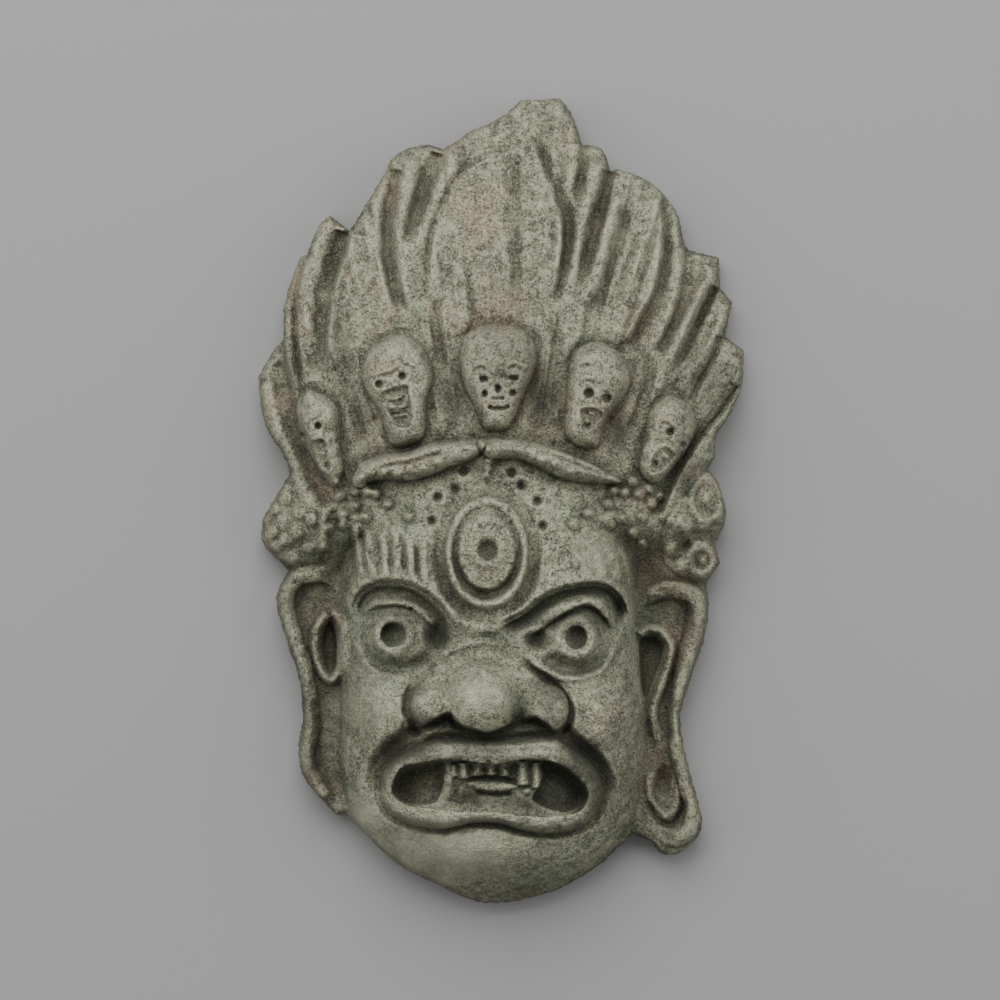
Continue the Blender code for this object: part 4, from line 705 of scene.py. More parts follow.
def carve_nose(carving):
    """A snub nose with round wings, cut in under its tip."""
    body = carving.mound(-8, -93, 32, 21.5, 58, 75)
    body = blend_up(body, carving.mound(-9.5, -99, 20, 21, 57, 90), 9)
    body = blend_up(body, carving.mound(-32.5, -101.5, 13.5, 13.5, 54, 79), 8)
    body = blend_up(body, carving.mound(22.5, -103.5, 13.5, 14.5, 54, 79.5), 8)
    body = blur(body, 0.9 / carving.pitch)
    above_foot = ring_through([(-50, -70), (-50, -108), *NOSE_FOOT, (40, -112), (42, -70), (-5, -50)])
    area, depth = carving.inside(above_foot, 8)
    carving.z[area] += np.clip(body[area] - carving.z[area], 0, None) * step(-1.6, 0.8, depth)
    carving.ridge([(-31, -79), (-24, -74), (-14, -71), (-5, -70.6), (3, -74)], 2.6, 1.2)
    carving.groove(RIGHT_WING_CUT, 3.2, 3.4, fade=(0.2, 0.1))
    carving.groove(LEFT_WING_CUT, 3.2, 3.4, fade=(0.3, 0.1))
    carving.lap([(x, y - 0.8) for x, y in NOSE_FOOT], 0.5, 4, 4.0, 5, high=1, fade=0.06, soft=1.0)
    carving.groove(TIP_CUT, 4.5, 1.4, fade=0.15)


# The folds from the nose to the mouth.
LEFT_LAUGH_LINE = [(-40, -112), (-46, -117.5), (-54, -124), (-60, -132), (-63, -142), (-62, -151)]
RIGHT_LAUGH_LINE = [(30, -113), (37, -120), (46, -127.5), (51.8, -136), (54, -145), (53, -155)]


def carve_cheeks(carving):
    """Bulging cheeks, the folds from the nose to the mouth, and the chin."""
    carving.groove(LEFT_LAUGH_LINE, 7, 6.0, fade=(0.08, 0.3))
    carving.groove(RIGHT_LAUGH_LINE, 5.5, 6.5, fade=(0.06, 0.3))
    carving.knob(-60, -103, 25, 9, radius_y=22)
    carving.knob(52, -105, 27, 9, radius_y=24)
    carving.ridge([(-50, -112), (-60, -118), (-68, -130)], 9, 2.5, fade=0.3)
    carving.ridge([(42, -112), (53, -121), (60, -134)], 9, 2.5, fade=0.3)
    carving.knob(-3, -176, 50, 9, radius_y=22)


# The lips' outline, the opening between them and its two deep ends.
LIPS = [(-60, -145), (-58, -135), (-50, -127), (-40, -121.5), (-30, -118.5), (-15, -118), (5, -118),
        (24, -116.8), (33, -121.5), (43, -128.5), (49, -136), (51.5, -145), (50, -153), (45, -160),
        (35, -165), (22, -166), (10, -164), (0, -161), (-12, -160.5), (-22, -162.5), (-30, -164),
        (-45, -161.5), (-54, -157.5), (-58.5, -152)]
MOUTH = [(-54, -144), (-52, -137), (-48, -132), (-40, -130.3), (-30, -128.6), (-20, -128.6),
         (-10, -130), (0, -130.5), (10, -128.6), (22, -128.6), (32, -132), (40, -138.5), (44, -145),
         (42.5, -151.5), (37, -156), (20, -157.5), (0, -156), (-20, -155), (-35, -153.5), (-45, -152),
         (-51, -149)]
LEFT_POCKET = [(-52, -143), (-49, -136), (-43, -132), (-30, -129.5), (-27.5, -133), (-28.5, -143),
               (-32, -150), (-42, -151.5), (-49, -149)]
RIGHT_POCKET = [(21, -129.5), (28, -130.5), (36, -135.5), (42.5, -143.5), (43, -148.5), (38, -153),
                (32, -155), (24, -153.5), (17.5, -150), (16, -147.5), (19, -142), (21, -137)]
# Teeth as x, top, foot, half width and height.
TEETH = (
    (-22.5, -131, -137.5, 2.2, 3.0), (-18.2, -130, -138.6, 4.2, 4.4), (-11, -130.4, -137.4, 4.2, 3.8),
    (-4.6, -130.6, -137.2, 3.8, 4.0), (2, -130.8, -137.4, 3.8, 3.4), (11.2, -129.5, -142, 4.4, 4.6),
    (18, -130, -143.5, 3.6, 4.0),
)

# The tongue, the cut over it and the rolled edges of the lips.
TONGUE_CUT = [(-17, -139.6), (-13, -138.2), (-4, -137.8), (4, -139.2), (9, -141)]
TONGUE = [(-16, -140), (-5, -139.3), (5, -140), (9, -142.6), (3, -144.4), (-6, -144.4), (-14, -143.2)]
LOWER_LIP_ROLL = [(-57, -147), (-52, -153.5), (-43, -157.5), (-30, -159.4), (-12, -157), (0, -157.4),
                  (16, -160.6), (30, -161), (41, -157.5), (48, -150)]
UPPER_LIP_ROLL = [(-56.5, -141), (-53, -134.5), (-46, -129.4), (-34, -126.2), (-15, -125.8), (0, -127),
                  (18, -125.6), (30, -127.5), (40, -133.5), (47.5, -142)]


def carve_mouth(carving):
    """The grimace: lips round an opening with two deep pockets, fangs and a bitten tongue."""
    carving.moat(LIPS, 3.8, 3.6)
    carving.pad(LIPS, 9, 9)
    area, depth = carving.inside(ring_through(MOUTH), 20)
    x, y = carving.x[area], carving.y[area]
    ramp_up = step(-136, -157, y) * step(60, 30, np.abs(x + 4))
    carving.z[area] -= 11.5 * quarter_round(depth / 4.0) * (1 - 0.62 * ramp_up)
    carving.pad(LEFT_POCKET, -6.5, 7)
    carving.pad(RIGHT_POCKET, -7.5, 3.5)
    carving.ridge([(-25, -130), (-25, -140), (-26.5, -150)], 3.6, 2.4, fade=(0.05, 0.3))
    for x, top, foot, width, height in TEETH:
        carving.ridge([(x, top), (x, (top + foot) / 2), (x + 0.4, foot)], width, height,
                      fade=(0.05, 0.08))
    carving.groove(TONGUE_CUT, 1.8, 3.0, fade=0.12)
    carving.pad(TONGUE, 3.4, 2.6)
    carving.groove([(-13, -145), (-3, -146.2), (7, -145.6)], 1.6, 2.4, fade=0.15)
    carving.knob(13.5, -144.5, 3.6, 3.2, radius_y=2.4)
    carving.ridge([(-19, -141), (-20, -147), (-19, -151)], 2.6, 1.4)
    carving.ridge(LOWER_LIP_ROLL, 4.4, 1.6, fade=0.12)
    carving.ridge(UPPER_LIP_ROLL, 3.4, 1.4, fade=0.12)


# The five skull heads from left to right: outlines, then crowns as x, y and radius.
SKULL_SHAPES = [
    [(-93.5, 55.5), (-85, 51.5), (-80, 45), (-79.5, 35), (-79, 25), (-77.5, 15), (-80, 8.5),
     (-83.5, 6.5), (-87.5, 11), (-92.5, 19), (-98.5, 27.5), (-101.5, 35), (-102.5, 42.5), (-100.5, 50),
     (-97.5, 54.5)],
    [(-50, 82.5), (-41, 79), (-35, 70), (-33, 60), (-36, 50), (-36.5, 37.5), (-39, 30), (-47.5, 26),
     (-54, 27.5), (-57, 35), (-61, 45), (-66, 52.5), (-69, 61), (-68, 69), (-64, 76.5), (-57.5, 81)],
    [(0, 87.5), (10, 86), (16, 80), (18.5, 72.5), (17.5, 64), (13.5, 55), (10, 47.5), (7, 40),
     (3.5, 35), (-2.5, 34), (-8, 36), (-11, 42.5), (-15, 50), (-18.5, 57.5), (-20, 66), (-20, 75),
     (-17, 82.5), (-10, 86.5)],
    [(47.5, 79), (57.5, 75), (64, 66), (65, 57.5), (61, 50), (55, 42.5), (51, 35), (49, 27.5),
     (44, 25.5), (37.5, 27), (32.5, 32.5), (32, 40), (33, 50), (33.5, 60), (35, 70), (39, 76)],
    [(86, 53), (95, 47.5), (98, 40), (97, 32.5), (93.5, 25), (89, 19), (84, 13.5), (77.5, 8),
     (72.5, 10), (69, 16), (70, 25), (72.5, 35), (74, 44), (78.5, 50)],
]
SKULL_CROWNS = [(-91, 43, 12), (-50, 68, 16), (-1, 72, 18), (50, 65, 15), (85, 41, 12)]
SKULL_LIFT = 11.5
SKULL_ROUNDING = 9.5

# Eyes and other pits as x, y and radii; brows, noses, mouths, teeth and lips as lines.
SKULL_EYES = (
    (-90.5, 37, 2.0, 2.0), (-98, 32, 1.8, 2.0), (-60, 57.5, 2.2, 2.2), (-48.5, 61.5, 2.2, 2.2),
    (-8, 60, 2.6, 1.7), (6.8, 60.5, 2.8, 1.6), (-1, 55, 1.7, 2.3), (-7.5, 52.8, 1.8, 2.1),
    (6.2, 53, 1.8, 1.9), (44, 53, 2.9, 2.8), (53, 50.5, 2.7, 2.6), (84.5, 34, 2.2, 2.2),
    (91, 28, 2.0, 1.9),
)
SKULL_BROWS = (
    [(-14, 65), (-10, 67.5), (-6, 66)], [(3, 66), (7.5, 68), (12, 65.5)],
    [(-65.5, 62), (-57.5, 63.8), (-52.5, 65.5), (-49.5, 69.5)], [(-49, 69), (-45, 68), (-42, 65.5)],
    [(-98, 38), (-93, 41.5), (-87, 44)], [(39, 59), (43, 61), (48, 59.5)],
    [(38, 67), (43, 69), (48, 67)], [(79, 40), (84, 39.5), (89, 35)],
)
SKULL_NOSES = (
    [(-94.5, 37), (-93.5, 32)], [(-55, 61), (-54.5, 57)], [(48.5, 56), (48, 50)],
    [(87.5, 32), (85, 29)], [(-95, 31), (-91, 32.2), (-87.5, 32)],
)
SKULL_MOUTHS = (
    [(-94, 29), (-87.5, 30), (-85, 22.5), (-83.5, 17), (-86, 14), (-90, 17.5), (-94, 25)],
    [(-59.5, 52.5), (-54, 55.5), (-46, 57), (-45, 52.5), (-44, 47.5), (-43.5, 40), (-45, 36), (-51, 36),
     (-53.5, 40), (-56.5, 45)],
    [(40, 45), (46, 46), (51, 43.5), (50, 40), (46.5, 36), (41, 34), (40, 40)],
    [(77.5, 24), (82.5, 26.5), (87.5, 22.5), (84, 17.5), (80, 14), (75, 13.5), (75, 19)],
)
SKULL_CAVITIES = (
    (-86, 17.5, 2.0, 2.4), (-48.5, 40, 4.0, 3.0), (43.5, 37, 2.4, 2.2), (77, 18, 2.4, 2.8),
)
SKULL_TEETH = (
    [(-90, 23.5), (-87, 22.5)], [(-55.5, 46), (-51, 46), (-46, 47.5)], [(44, 43.5), (47, 42)],
    [(80.5, 22.5), (84, 21)],
)
SKULL_LIPS = (
    [(-56, 49), (-51, 49), (-46.5, 51.5)], [(-55, 43), (-50, 43), (-45.5, 44.5)],
)


def carve_skulls(carving):
    """Five skull heads side by side in front of the hair."""
    for shape in SKULL_SHAPES:
        carving.moat(shape, 5, 1.5)
    for shape, (x, y, radius) in zip(SKULL_SHAPES, SKULL_CROWNS):
        carving.pad(shape, SKULL_LIFT, SKULL_ROUNDING)
        carving.knob(x, y, radius, 4)
    for x, y, radius, radius_y in SKULL_EYES:
        carving.pit(x, y, radius, 3.6, radius_y=radius_y, profile=flat_pit)
        carving.hoop(x, y, radius + 1.2, 1.4, 0.4, squash=radius_y / radius)
    for brow in SKULL_BROWS:
        carving.ridge(brow, 1.8, 1.0)
        carving.groove([(x, y - 1.7) for x, y in brow], 1.5, 0.8)
    for nose in SKULL_NOSES:
        carving.ridge(nose, 2.6, 1.5)
    for mouth in SKULL_MOUTHS:
        carving.moat(mouth, 2.4, -0.9)
        carving.pad(mouth, -2.6, 1.6)
    for x, y, radius, radius_y in SKULL_CAVITIES:
        carving.pit(x, y, radius, 2.6, radius_y=radius_y)
    for teeth in SKULL_TEETH:
        carving.ridge(teeth, 1.5, 2.0, fade=0.05)
    for lip in SKULL_LIPS:
        carving.groove(lip, 1.2, 1.6, fade=0.1)
    carving.groove([(-4.4, 50.6), (-1, 50.2), (2.4, 50.6)], 1.3, 1.8, fade=0.1)
    carving.groove([(-5.8, 46.9), (-4, 45.6), (0, 45.4), (3, 45.8), (4.6, 47)], 1.7, 3.0, fade=0.05)


# Outlines of the two halves of the band, and where their beads sit.
BAND_HALVES = (
    [(-71.5, 16), (-68, 19.5), (-58, 23), (-45, 25), (-33, 29), (-20, 29.8), (-9, 30.2), (-8, 25),
     (-15, 19.5), (-24, 16.5), (-33, 12.5), (-45, 9.5), (-62, 9.5), (-69, 6), (-73.5, 8)],
    [(-10, 30), (9, 30.2), (20, 28), (33, 23.5), (45, 18.5), (56, 12.5), (60, 9.5), (57, 8), (43, 8.5),
     (30, 11), (18, 16.5), (8, 20.5), (-6, 21)],
)
BAND_BEADS = (
    (-64.5, 13.8), (-58, 13.2), (-51, 12.6), (-44.5, 15.4), (-38, 16.8), (-31, 19), (20.5, 19.2),
    (28, 17.8), (35.5, 14.8), (43, 12.5), (50, 12), (56, 11.2),
)


def carve_band(carving):
    """The beaded band under the skulls, in two halves that meet, with a small pendant."""
    for half in BAND_HALVES:
        carving.moat(half, 6, 1.4)
    for half in BAND_HALVES:
        carving.pad(half, 11.5, 6)
    carving.ridge([(-69, 17), (-58, 19.5), (-46, 21.5), (-34, 25.5), (-20, 27)], 2.6, 1.4, fade=0.1)
    carving.groove([(-60, 17), (-52, 17.8), (-44, 19), (-34, 22.2), (-26, 24)], 1.8, 1.6, fade=0.2)
    carving.ridge([(12, 27.5), (24, 25.5), (36, 21.5), (47, 16.8), (58, 11)], 2.6, 1.4, fade=0.1)
    carving.groove([(18, 24.5), (28, 22.2), (38, 18.4), (47, 14.8), (55, 12)], 1.8, 1.6, fade=0.1)
    for x, y in BAND_BEADS:
        carving.pit(x, y, 4.6, 1.4)
        carving.knob(x, y, 3.4, 4.0)
    carving.knob(-66.5, 4.8, 4.4, 7)
    carving.knob(-71.5, 10, 4.0, 3)
    carving.pit(-66.5, 8.6, 2.0, 1.5)
    carving.knob(-8, 22, 8, 6)
    for x, y in ((-6, 25), (-5.5, 19.5), (-6, 15.5), (-6.8, 12)):
        carving.knob(x, y, 2.9, 3.4)


def carve(pitch):
    """The whole front, before its edges are rounded."""
    carving = Carving(pitch)
    carve_masses(carving)
    carve_hair(carving)
    comb_hair(carving)
    carve_ornaments(carving)
    carve_ears(carving)
    carve_forehead(carving)
    carve_eyes(carving)
    carve_nose(carving)
    carve_cheeks(carving)
    carve_mouth(carving)
    carve_skulls(carving)
    carve_band(carving)
    carve_third_eye(carving)
    return carving


def kept_cells(depth, pitch):
    """Grid cells inside the outline, without pairs that touch only at a corner."""
    near = depth > -EDGE_TOLERANCE * pitch
    cells = near[:-1, :-1] & near[1:, :-1] & near[:-1, 1:] & near[1:, 1:]
    for _ in range(PINCH_PASSES):
        a, b, c, d = cells[:-1, :-1], cells[:-1, 1:], cells[1:, :-1], cells[1:, 1:]
        pinched = (a & d & ~b & ~c) | (b & c & ~a & ~d)
        cells[:-1, :-1] &= ~pinched
        cells[:-1, 1:] &= ~pinched
        cells[1:, :-1] &= ~pinched
        cells[1:, 1:] &= ~pinched
    return cells


def outline_depth(carving):
    """How far inside the outline each grid point lies, in drawn millimetres; negative outside."""
    reach = (RIM_WIDTH + RIM_TO_HOLLOW_SLOPE) / MILLIMETRE + 2 * carving.pitch
    depth = np.full(carving.z.shape, -99.0)
    area, found = carving.inside(silhouette(), reach)
    depth[area] = found
    return depth


def face_share(carving):
    """1 on the smooth face, 0 on the hair and the ears."""
    share = np.zeros_like(carving.z)
    area, depth = carving.inside(ring_through(FACE_EDGE), 10)
    share[area] = step(-3, 7, depth)
    return share * step(30, 12, carving.y)


def drawn_noise(carving, size, seed, stretch=1.0, turn=0.0):
    """Even random heights of unit strength; stretch draws them out along the direction turn."""
    shape = carving.z.shape
    fy = np.fft.fftfreq(shape[0], carving.pitch)[:, None]
    fx = np.fft.rfftfreq(shape[1], carving.pitch)[None, :]
    along = fx * math.cos(turn) + fy * math.sin(turn)
    across = fy * math.cos(turn) - fx * math.sin(turn)
    gain = np.exp(-2 * (math.pi * size) ** 2 * ((along * stretch) ** 2 + across**2))
    white = np.random.default_rng(seed).standard_normal(shape)
    soft = np.fft.irfft2(np.fft.rfft2(white) * gain, s=shape)
    return soft / soft.std()


def sky_seen(z, pitch):
    """Share of the sky that each point of the heights sees, from its horizons all round."""
    pad = int(SKY_REACHES[-1] / pitch) + 1
    wide = np.pad(z, pad)
    seen = np.zeros_like(z)
    rows, columns = z.shape
    for turn in range(SKY_DIRECTIONS):
        angle = 2 * math.pi * turn / SKY_DIRECTIONS
        horizon = np.zeros_like(z)
        for reach in SKY_REACHES:
            down = round(reach * math.sin(angle) / pitch)
            right = round(reach * math.cos(angle) / pitch)
            far = wide[pad + down : pad + down + rows, pad + right : pad + right + columns]
            horizon = np.maximum(horizon, (far - z) / (pitch * math.hypot(down, right)))
        seen += 1 - horizon / np.sqrt(1 + horizon**2)
    return seen / SKY_DIRECTIONS


def weather(carving, face):
    """Centuries outdoors: uneven stone, pits, chipped edges and the chisel's old strokes."""
    coarse, middle, fine = (drawn_noise(carving, *kind) for kind in (COARSE, MIDDLE, FINE))
    high, low, lowest = UNEVEN_HEIGHTS
    rough = 1.0 - SMOOTHER_FACE * face
    carving.z += high * coarse + low * rough * middle + lowest * rough * fine
    carving.z -= PIT_DEPTH * rough * np.clip(drawn_noise(carving, *PITS) - 1.7, 0, 1.2)
    bulge = carving.z - blur(carving.z, CHIPPED_EDGE / carving.pitch)
    chips = np.clip(drawn_noise(carving, *CHIPS) - 0.4, 0, 1.5)
    carving.z -= np.clip(bulge, 0, 1) * chips * CHIP_DEPTH
    for (x, y, radius), turn, seed in CHISEL_FIELDS:
        strokes = drawn_noise(carving, STROKE_WIDTH, seed, STROKE_STRETCH, turn)
        u = np.hypot(carving.x - x, carving.y - y) / radius
        carving.z += STROKE_HEIGHT * strokes * soft_bump(np.minimum(u, 1))


# Soft patches of thicker stain with painted shade or, below zero, thinner stain with painted light: x,
# y, the two radii and the share.
STAINS_LIGHT_AND_SHADE = (
    (-46, -62, 26, 15, 0.52), (-35, -78, 17, 14, 0.42), (-23, -67, 20, 15, 0.42),
    (3, -70, 18, 18, 0.48), (29, -60, 32, 12, 0.54), (51, -60, 14, 14, 0.42), (24, -98, 14, 22, 0.52),
    (-42, -97, 9, 18, 0.40), (-13, -126, 58, 9, 0.48), (-48, -123, 22, 16, 0.48),
    (-59, -136, 16, 18, 0.40), (39, -132, 22, 18, 0.72), (50, -149, 15, 20, 0.62),
    (63, -140, 13, 20, 0.40), (-20, -146, 20, 13, 0.62), (8, -150, 44, 11, 0.72),
    (-42, -153, 24, 9, 0.38), (-69, 40, 11, 28, 0.50), (-23, 50, 9, 26, 0.50), (20, 50, 12, 30, 0.55),
    (59, 34, 13, 24, 0.64), (70, 70, 9, 30, 0.30), (18, 60, 75, 58, 0.22), (102, 60, 28, 32, 0.48),
    (94, 12, 15, 26, 0.54), (-79, 80, 10, 46, 0.44), (-102, 68, 14, 24, 0.50), (-104, 26, 9, 40, 0.32),
    (-46, -6, 28, 16, 0.28), (56, 0, 26, 16, 0.32), (-8, -30, 18, 20, 0.30), (-103, -50, 9, 24, 0.44),
    (-96, -104, 10, 34, 0.46), (-94, -136, 10, 20, 0.45), (84, -45, 20, 8, 0.48),
    (97, -62, 8, 30, 0.40), (10, -196, 40, 9, 0.42), (67, -163, 14, 12, 0.40),
    (-30, -174, 66, 34, -0.60), (50, -26, 22, 17, -0.46), (-12, -96, 24, 18, -0.42),
    (0, -116, 40, 7, -0.44), (38, -85, 22, 8, -0.42), (-84, -105, 9, 46, -0.30),
    (76, -96, 9, 34, -0.30), (-58, 133, 8, 46, -0.36), (-43, 150, 8, 28, -0.34),
    (-27, 168, 10, 16, -0.30), (58, 133, 11, 38, -0.30), (78, 122, 11, 40, -0.30),
    (91, 92, 10, 26, -0.30), (31, 134, 8, 30, -0.30), (-42, 78, 20, 34, -0.16), (27, 178, 16, 26, 0.30),
    (48, 62, 10, 14, -0.24), (85, -33, 12, 10, -0.36), (-10, 20, 20, 7, -0.34), (0, 96, 34, 50, 0.28),
    (-64, -104, 22, 22, -0.38), (-70, -156, 18, 18, -0.50),
)


def stains_light_and_shade(carving):
    """How much thicker or thinner the stain is than elsewhere, with painted shade where thicker and
    painted light where thinner.
    """
    stain_light_and_shade = np.zeros_like(carving.z)
    for x, y, radius_x, radius_y, share in STAINS_LIGHT_AND_SHADE:
        area = carving.window([(x, y)], max(radius_x, radius_y))
        u = np.hypot((carving.x[area] - x) / radius_x, (carving.y[area] - y) / radius_y)
        stain_light_and_shade[area] += share * soft_bump(u)
    return stain_light_and_shade


def read_at(field, carving, x, y):
    """The field's values at drawn places, between its grid points."""
    column = np.clip((x - carving.xs[0]) / carving.pitch, 0, field.shape[1] - 1.001)
    row = np.clip((y - carving.ys[0]) / carving.pitch, 0, field.shape[0] - 1.001)
    left = column.astype(int)
    below = row.astype(int)
    u = column - left
    v = row - below
    return between(field, below, left, v, u)


def points_of(mesh):
    """A mesh's points in drawn millimetres, one row each."""
    flat = np.empty(3 * len(mesh.vertices))
    mesh.vertices.foreach_get("co", flat)
    points = flat.reshape(-1, 3) / MILLIMETRE
    points[:, :2] += DRAWN_CENTRE
    return points


def put_points(mesh, points):
    """Moves a mesh's points to drawn millimetres."""
    moved = points.copy()
    moved[:, :2] -= DRAWN_CENTRE
    mesh.vertices.foreach_set("co", (moved * MILLIMETRE).ravel())
    mesh.update()


def add_sheet(name, xs, ys, kept):
    """A flat grid through the given lines, trimmed to its kept cells."""
    middle = ((xs[0] + xs[-1]) / 2 - DRAWN_CENTRE[0], (ys[0] + ys[-1]) / 2 - DRAWN_CENTRE[1], 0.0)
    bpy.ops.object.select_all(action="DESELECT")
    bpy.ops.mesh.primitive_grid_add(
        x_subdivisions=len(xs) - 1,
        y_subdivisions=len(ys) - 1,
        size=1.0,
        location=[MILLIMETRE * value for value in middle],
    )
    sheet = bpy.context.object
    sheet.scale = (MILLIMETRE * (xs[-1] - xs[0]), MILLIMETRE * (ys[-1] - ys[0]), 1.0)
    sheet.name = name
    sheet.data.name = name
    bpy.ops.object.transform_apply(location=True, rotation=False, scale=True)
    mesh = sheet.data
    if len(mesh.polygons) != kept.size:
        raise RuntimeError("the sheet doesn't have one cell for each square of the drawing")
    bpy.context.tool_settings.mesh_select_mode = (False, False, True)
    mesh.vertices.foreach_set("select", np.zeros(len(mesh.vertices), bool))
    mesh.edges.foreach_set("select", np.zeros(len(mesh.edges), bool))
    mesh.polygons.foreach_set("select", ~kept.ravel())
    bpy.ops.object.mode_set(mode="EDIT")
    bpy.ops.mesh.select_mode(type="FACE")
    bpy.ops.mesh.delete(type="FACE")
    bpy.ops.object.mode_set(mode="OBJECT")
    return sheet


def grid_place(points, xs, ys, pitch):
    """Row and column of each point on its grid."""
    column = np.rint((points[:, 0] - xs[0]) / pitch).astype(int)
    row = np.rint((points[:, 1] - ys[0]) / pitch).astype(int)
    return row, column


def on_the_rim(kept):
    """Which grid points of the kept cells lie on their border."""
    around = np.pad(kept, 1)
    touching = around[:-1, :-1].astype(int) + around[1:, :-1] + around[:-1, 1:] + around[1:, 1:]
    return (touching > 0) & (touching < 4)


def build_front(carving, depth):
    """The carved front as a trimmed sheet whose border is drawn on to the outline."""
    pitch = carving.pitch
    kept = kept_cells(depth, pitch)
    front = add_sheet("mask_of_stone", carving.xs, carving.ys, kept)
    points = points_of(front.data)
    row, column = grid_place(points, carving.xs, carving.ys, pitch)
    rim = on_the_rim(kept)
    slope_y, slope_x = np.gradient(depth, pitch)
    steep = np.maximum(np.hypot(slope_x, slope_y), 0.5) ** 2
    move = np.where(rim, depth, 0.0)
    inward = np.where(rim, 0.0, np.clip(depth, 0, None))
    roll = EDGE_ROUNDING / MILLIMETRE
    height = carving.z - roll * (1 - quarter_round(inward / roll))
    points[:, 0] -= (move * slope_x / steep)[row, column]
    points[:, 1] -= (move * slope_y / steep)[row, column]
    points[:, 2] = height[row, column]
    put_points(front.data, points)
    return front, height


def select_border():
    """Selects the open edges of the mesh that is being edited."""
    bpy.ops.mesh.select_mode(type="EDGE")
    bpy.ops.mesh.select_all(action="DESELECT")
    bpy.ops.mesh.select_non_manifold(
        extend=False, use_wire=False, use_boundary=True, use_multi_face=False,
        use_non_contiguous=False, use_verts=False,
    )


def add_walls(front, carving, depth):
    """Pulls the border down to the floor in rows, with a rough broken side."""
    first_wall_point = len(front.data.vertices)
    bpy.ops.object.mode_set(mode="EDIT")
    select_border()
    for row in range(WALL_ROWS):
        bpy.ops.mesh.extrude_region_move()
        share = (WALL_ROWS - row - 1) / (WALL_ROWS - row)
        bpy.ops.transform.resize(value=(1.0, 1.0, share), center_override=(0.0, 0.0, 0.0))
    bpy.ops.object.mode_set(mode="OBJECT")
    points = points_of(front.data)
    wall = np.arange(len(points)) >= first_wall_point
    wall &= points[:, 2] > FLOOR_TOLERANCE
    noise = drawn_noise(carving, *WALL_GRAIN)
    slope_y, slope_x = np.gradient(depth, carving.pitch)
    x, y, z = points[wall].T
    lean_x, lean_y = WALL_GRAIN_LEAN
    bump = WALL_ROUGHNESS * read_at(noise, carving, x + lean_x * z, y - lean_y * z)
    points[wall, 0] -= bump * read_at(slope_x, carving, x, y)
    points[wall, 1] -= bump * read_at(slope_y, carving, x, y)
    put_points(front.data, points)


def build_back(carving, depth, height):
    """The coarser hollow back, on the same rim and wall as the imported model's."""
    stride = int(round(BACK_PITCH / carving.pitch))
    floor_of_carving = np.where(depth > 0, height, EAR_HEIGHT)
    low = lowest_near(floor_of_carving, int(WALL_REACH / carving.pitch))
    under = blur(low, HOLLOW_SMOOTHING / MILLIMETRE / carving.pitch)
    slope_end = (RIM_WIDTH + RIM_TO_HOLLOW_SLOPE) / MILLIMETRE
    ceiling = np.clip(under - WALL_THICKNESS / MILLIMETRE, 0, None)
    ceiling = ceiling * step(RIM_WIDTH / MILLIMETRE, slope_end, depth)
    tooled = TOOL_MARK_HEIGHT * drawn_noise(carving, *TOOL_MARKS)
    ceiling = np.where(ceiling > THINNEST_HOLLOW, ceiling + tooled, ceiling)
    xs = carving.xs[::stride]
    ys = carving.ys[::stride]
    inner = depth[::stride, ::stride]
    kept = kept_cells(inner - BACK_MARGIN, 0.0)
    back = add_sheet("hollow_back", xs, ys, kept)
    points = points_of(back.data)
    row, column = grid_place(points, xs, ys, carving.pitch * stride)
    points[:, 2] = np.clip(ceiling[::stride, ::stride], 0, None)[row, column]
    put_points(back.data, points)
    return back


def close_shell(front, back):
    """Joins the front and the back and fills the flat rim between their borders."""
    bpy.ops.object.select_all(action="DESELECT")
    back.select_set(True)
    front.select_set(True)
    bpy.context.view_layer.objects.active = front
    bpy.ops.object.join()
    bpy.ops.object.mode_set(mode="EDIT")
    select_border()
    bpy.ops.mesh.fill(use_beauty=False)
    bpy.ops.mesh.select_all(action="SELECT")
    bpy.ops.mesh.normals_make_consistent(inside=False)
    bpy.ops.object.mode_set(mode="OBJECT")


def thin_out(piece, triangles):
    """Keeps the triangles where the form needs them."""
    count = sum(len(face.vertices) - 2 for face in piece.data.polygons)
    fewer = piece.modifiers.new("fewer triangles", "DECIMATE")
    fewer.ratio = min(1.0, triangles / count)
    fewer.use_collapse_triangulate = True
    bpy.context.view_layer.objects.active = piece
    bpy.ops.object.modifier_apply(modifier=fewer.name)


def keep_readings(piece, carving, fields):
    """Stores what the finish needs to know of the form, point by point."""
    mesh = piece.data
    points = points_of(mesh)
    normals = np.empty(3 * len(mesh.vertices))
    mesh.vertices.foreach_get("normal", normals)
    facing_back = normals.reshape(-1, 3)[:, 2] < BACKWARD_NORMAL
    for name, (field, on_back) in fields.items():
        values = read_at(field, carving, points[:, 0], points[:, 1])
        values = np.where(facing_back, on_back, values)
        kept = mesh.attributes.new(name, "FLOAT", "POINT")
        kept.data.foreach_set("value", values.astype(np.float32))


class Wire:
    """A number travelling between nodes: sums, differences and products of it add their own nodes."""

    def __init__(self, paint, socket):
        self.paint = paint
        self.socket = socket

    def joined(self, operation, first, second):
        """A Math node on two numbers or wires."""
        return self.paint.node("ShaderNodeMath", {"operation": operation}, {0: first, 1: second})

    def __add__(self, other):
        return self.joined("ADD", self, other)

    def __radd__(self, other):
        return self.joined("ADD", other, self)

    def __sub__(self, other):
        return self.joined("SUBTRACT", self, other)

    def __rsub__(self, other):
        return self.joined("SUBTRACT", other, self)

    def __mul__(self, other):
        return self.joined("MULTIPLY", self, other)

    def __rmul__(self, other):
        return self.joined("MULTIPLY", other, self)


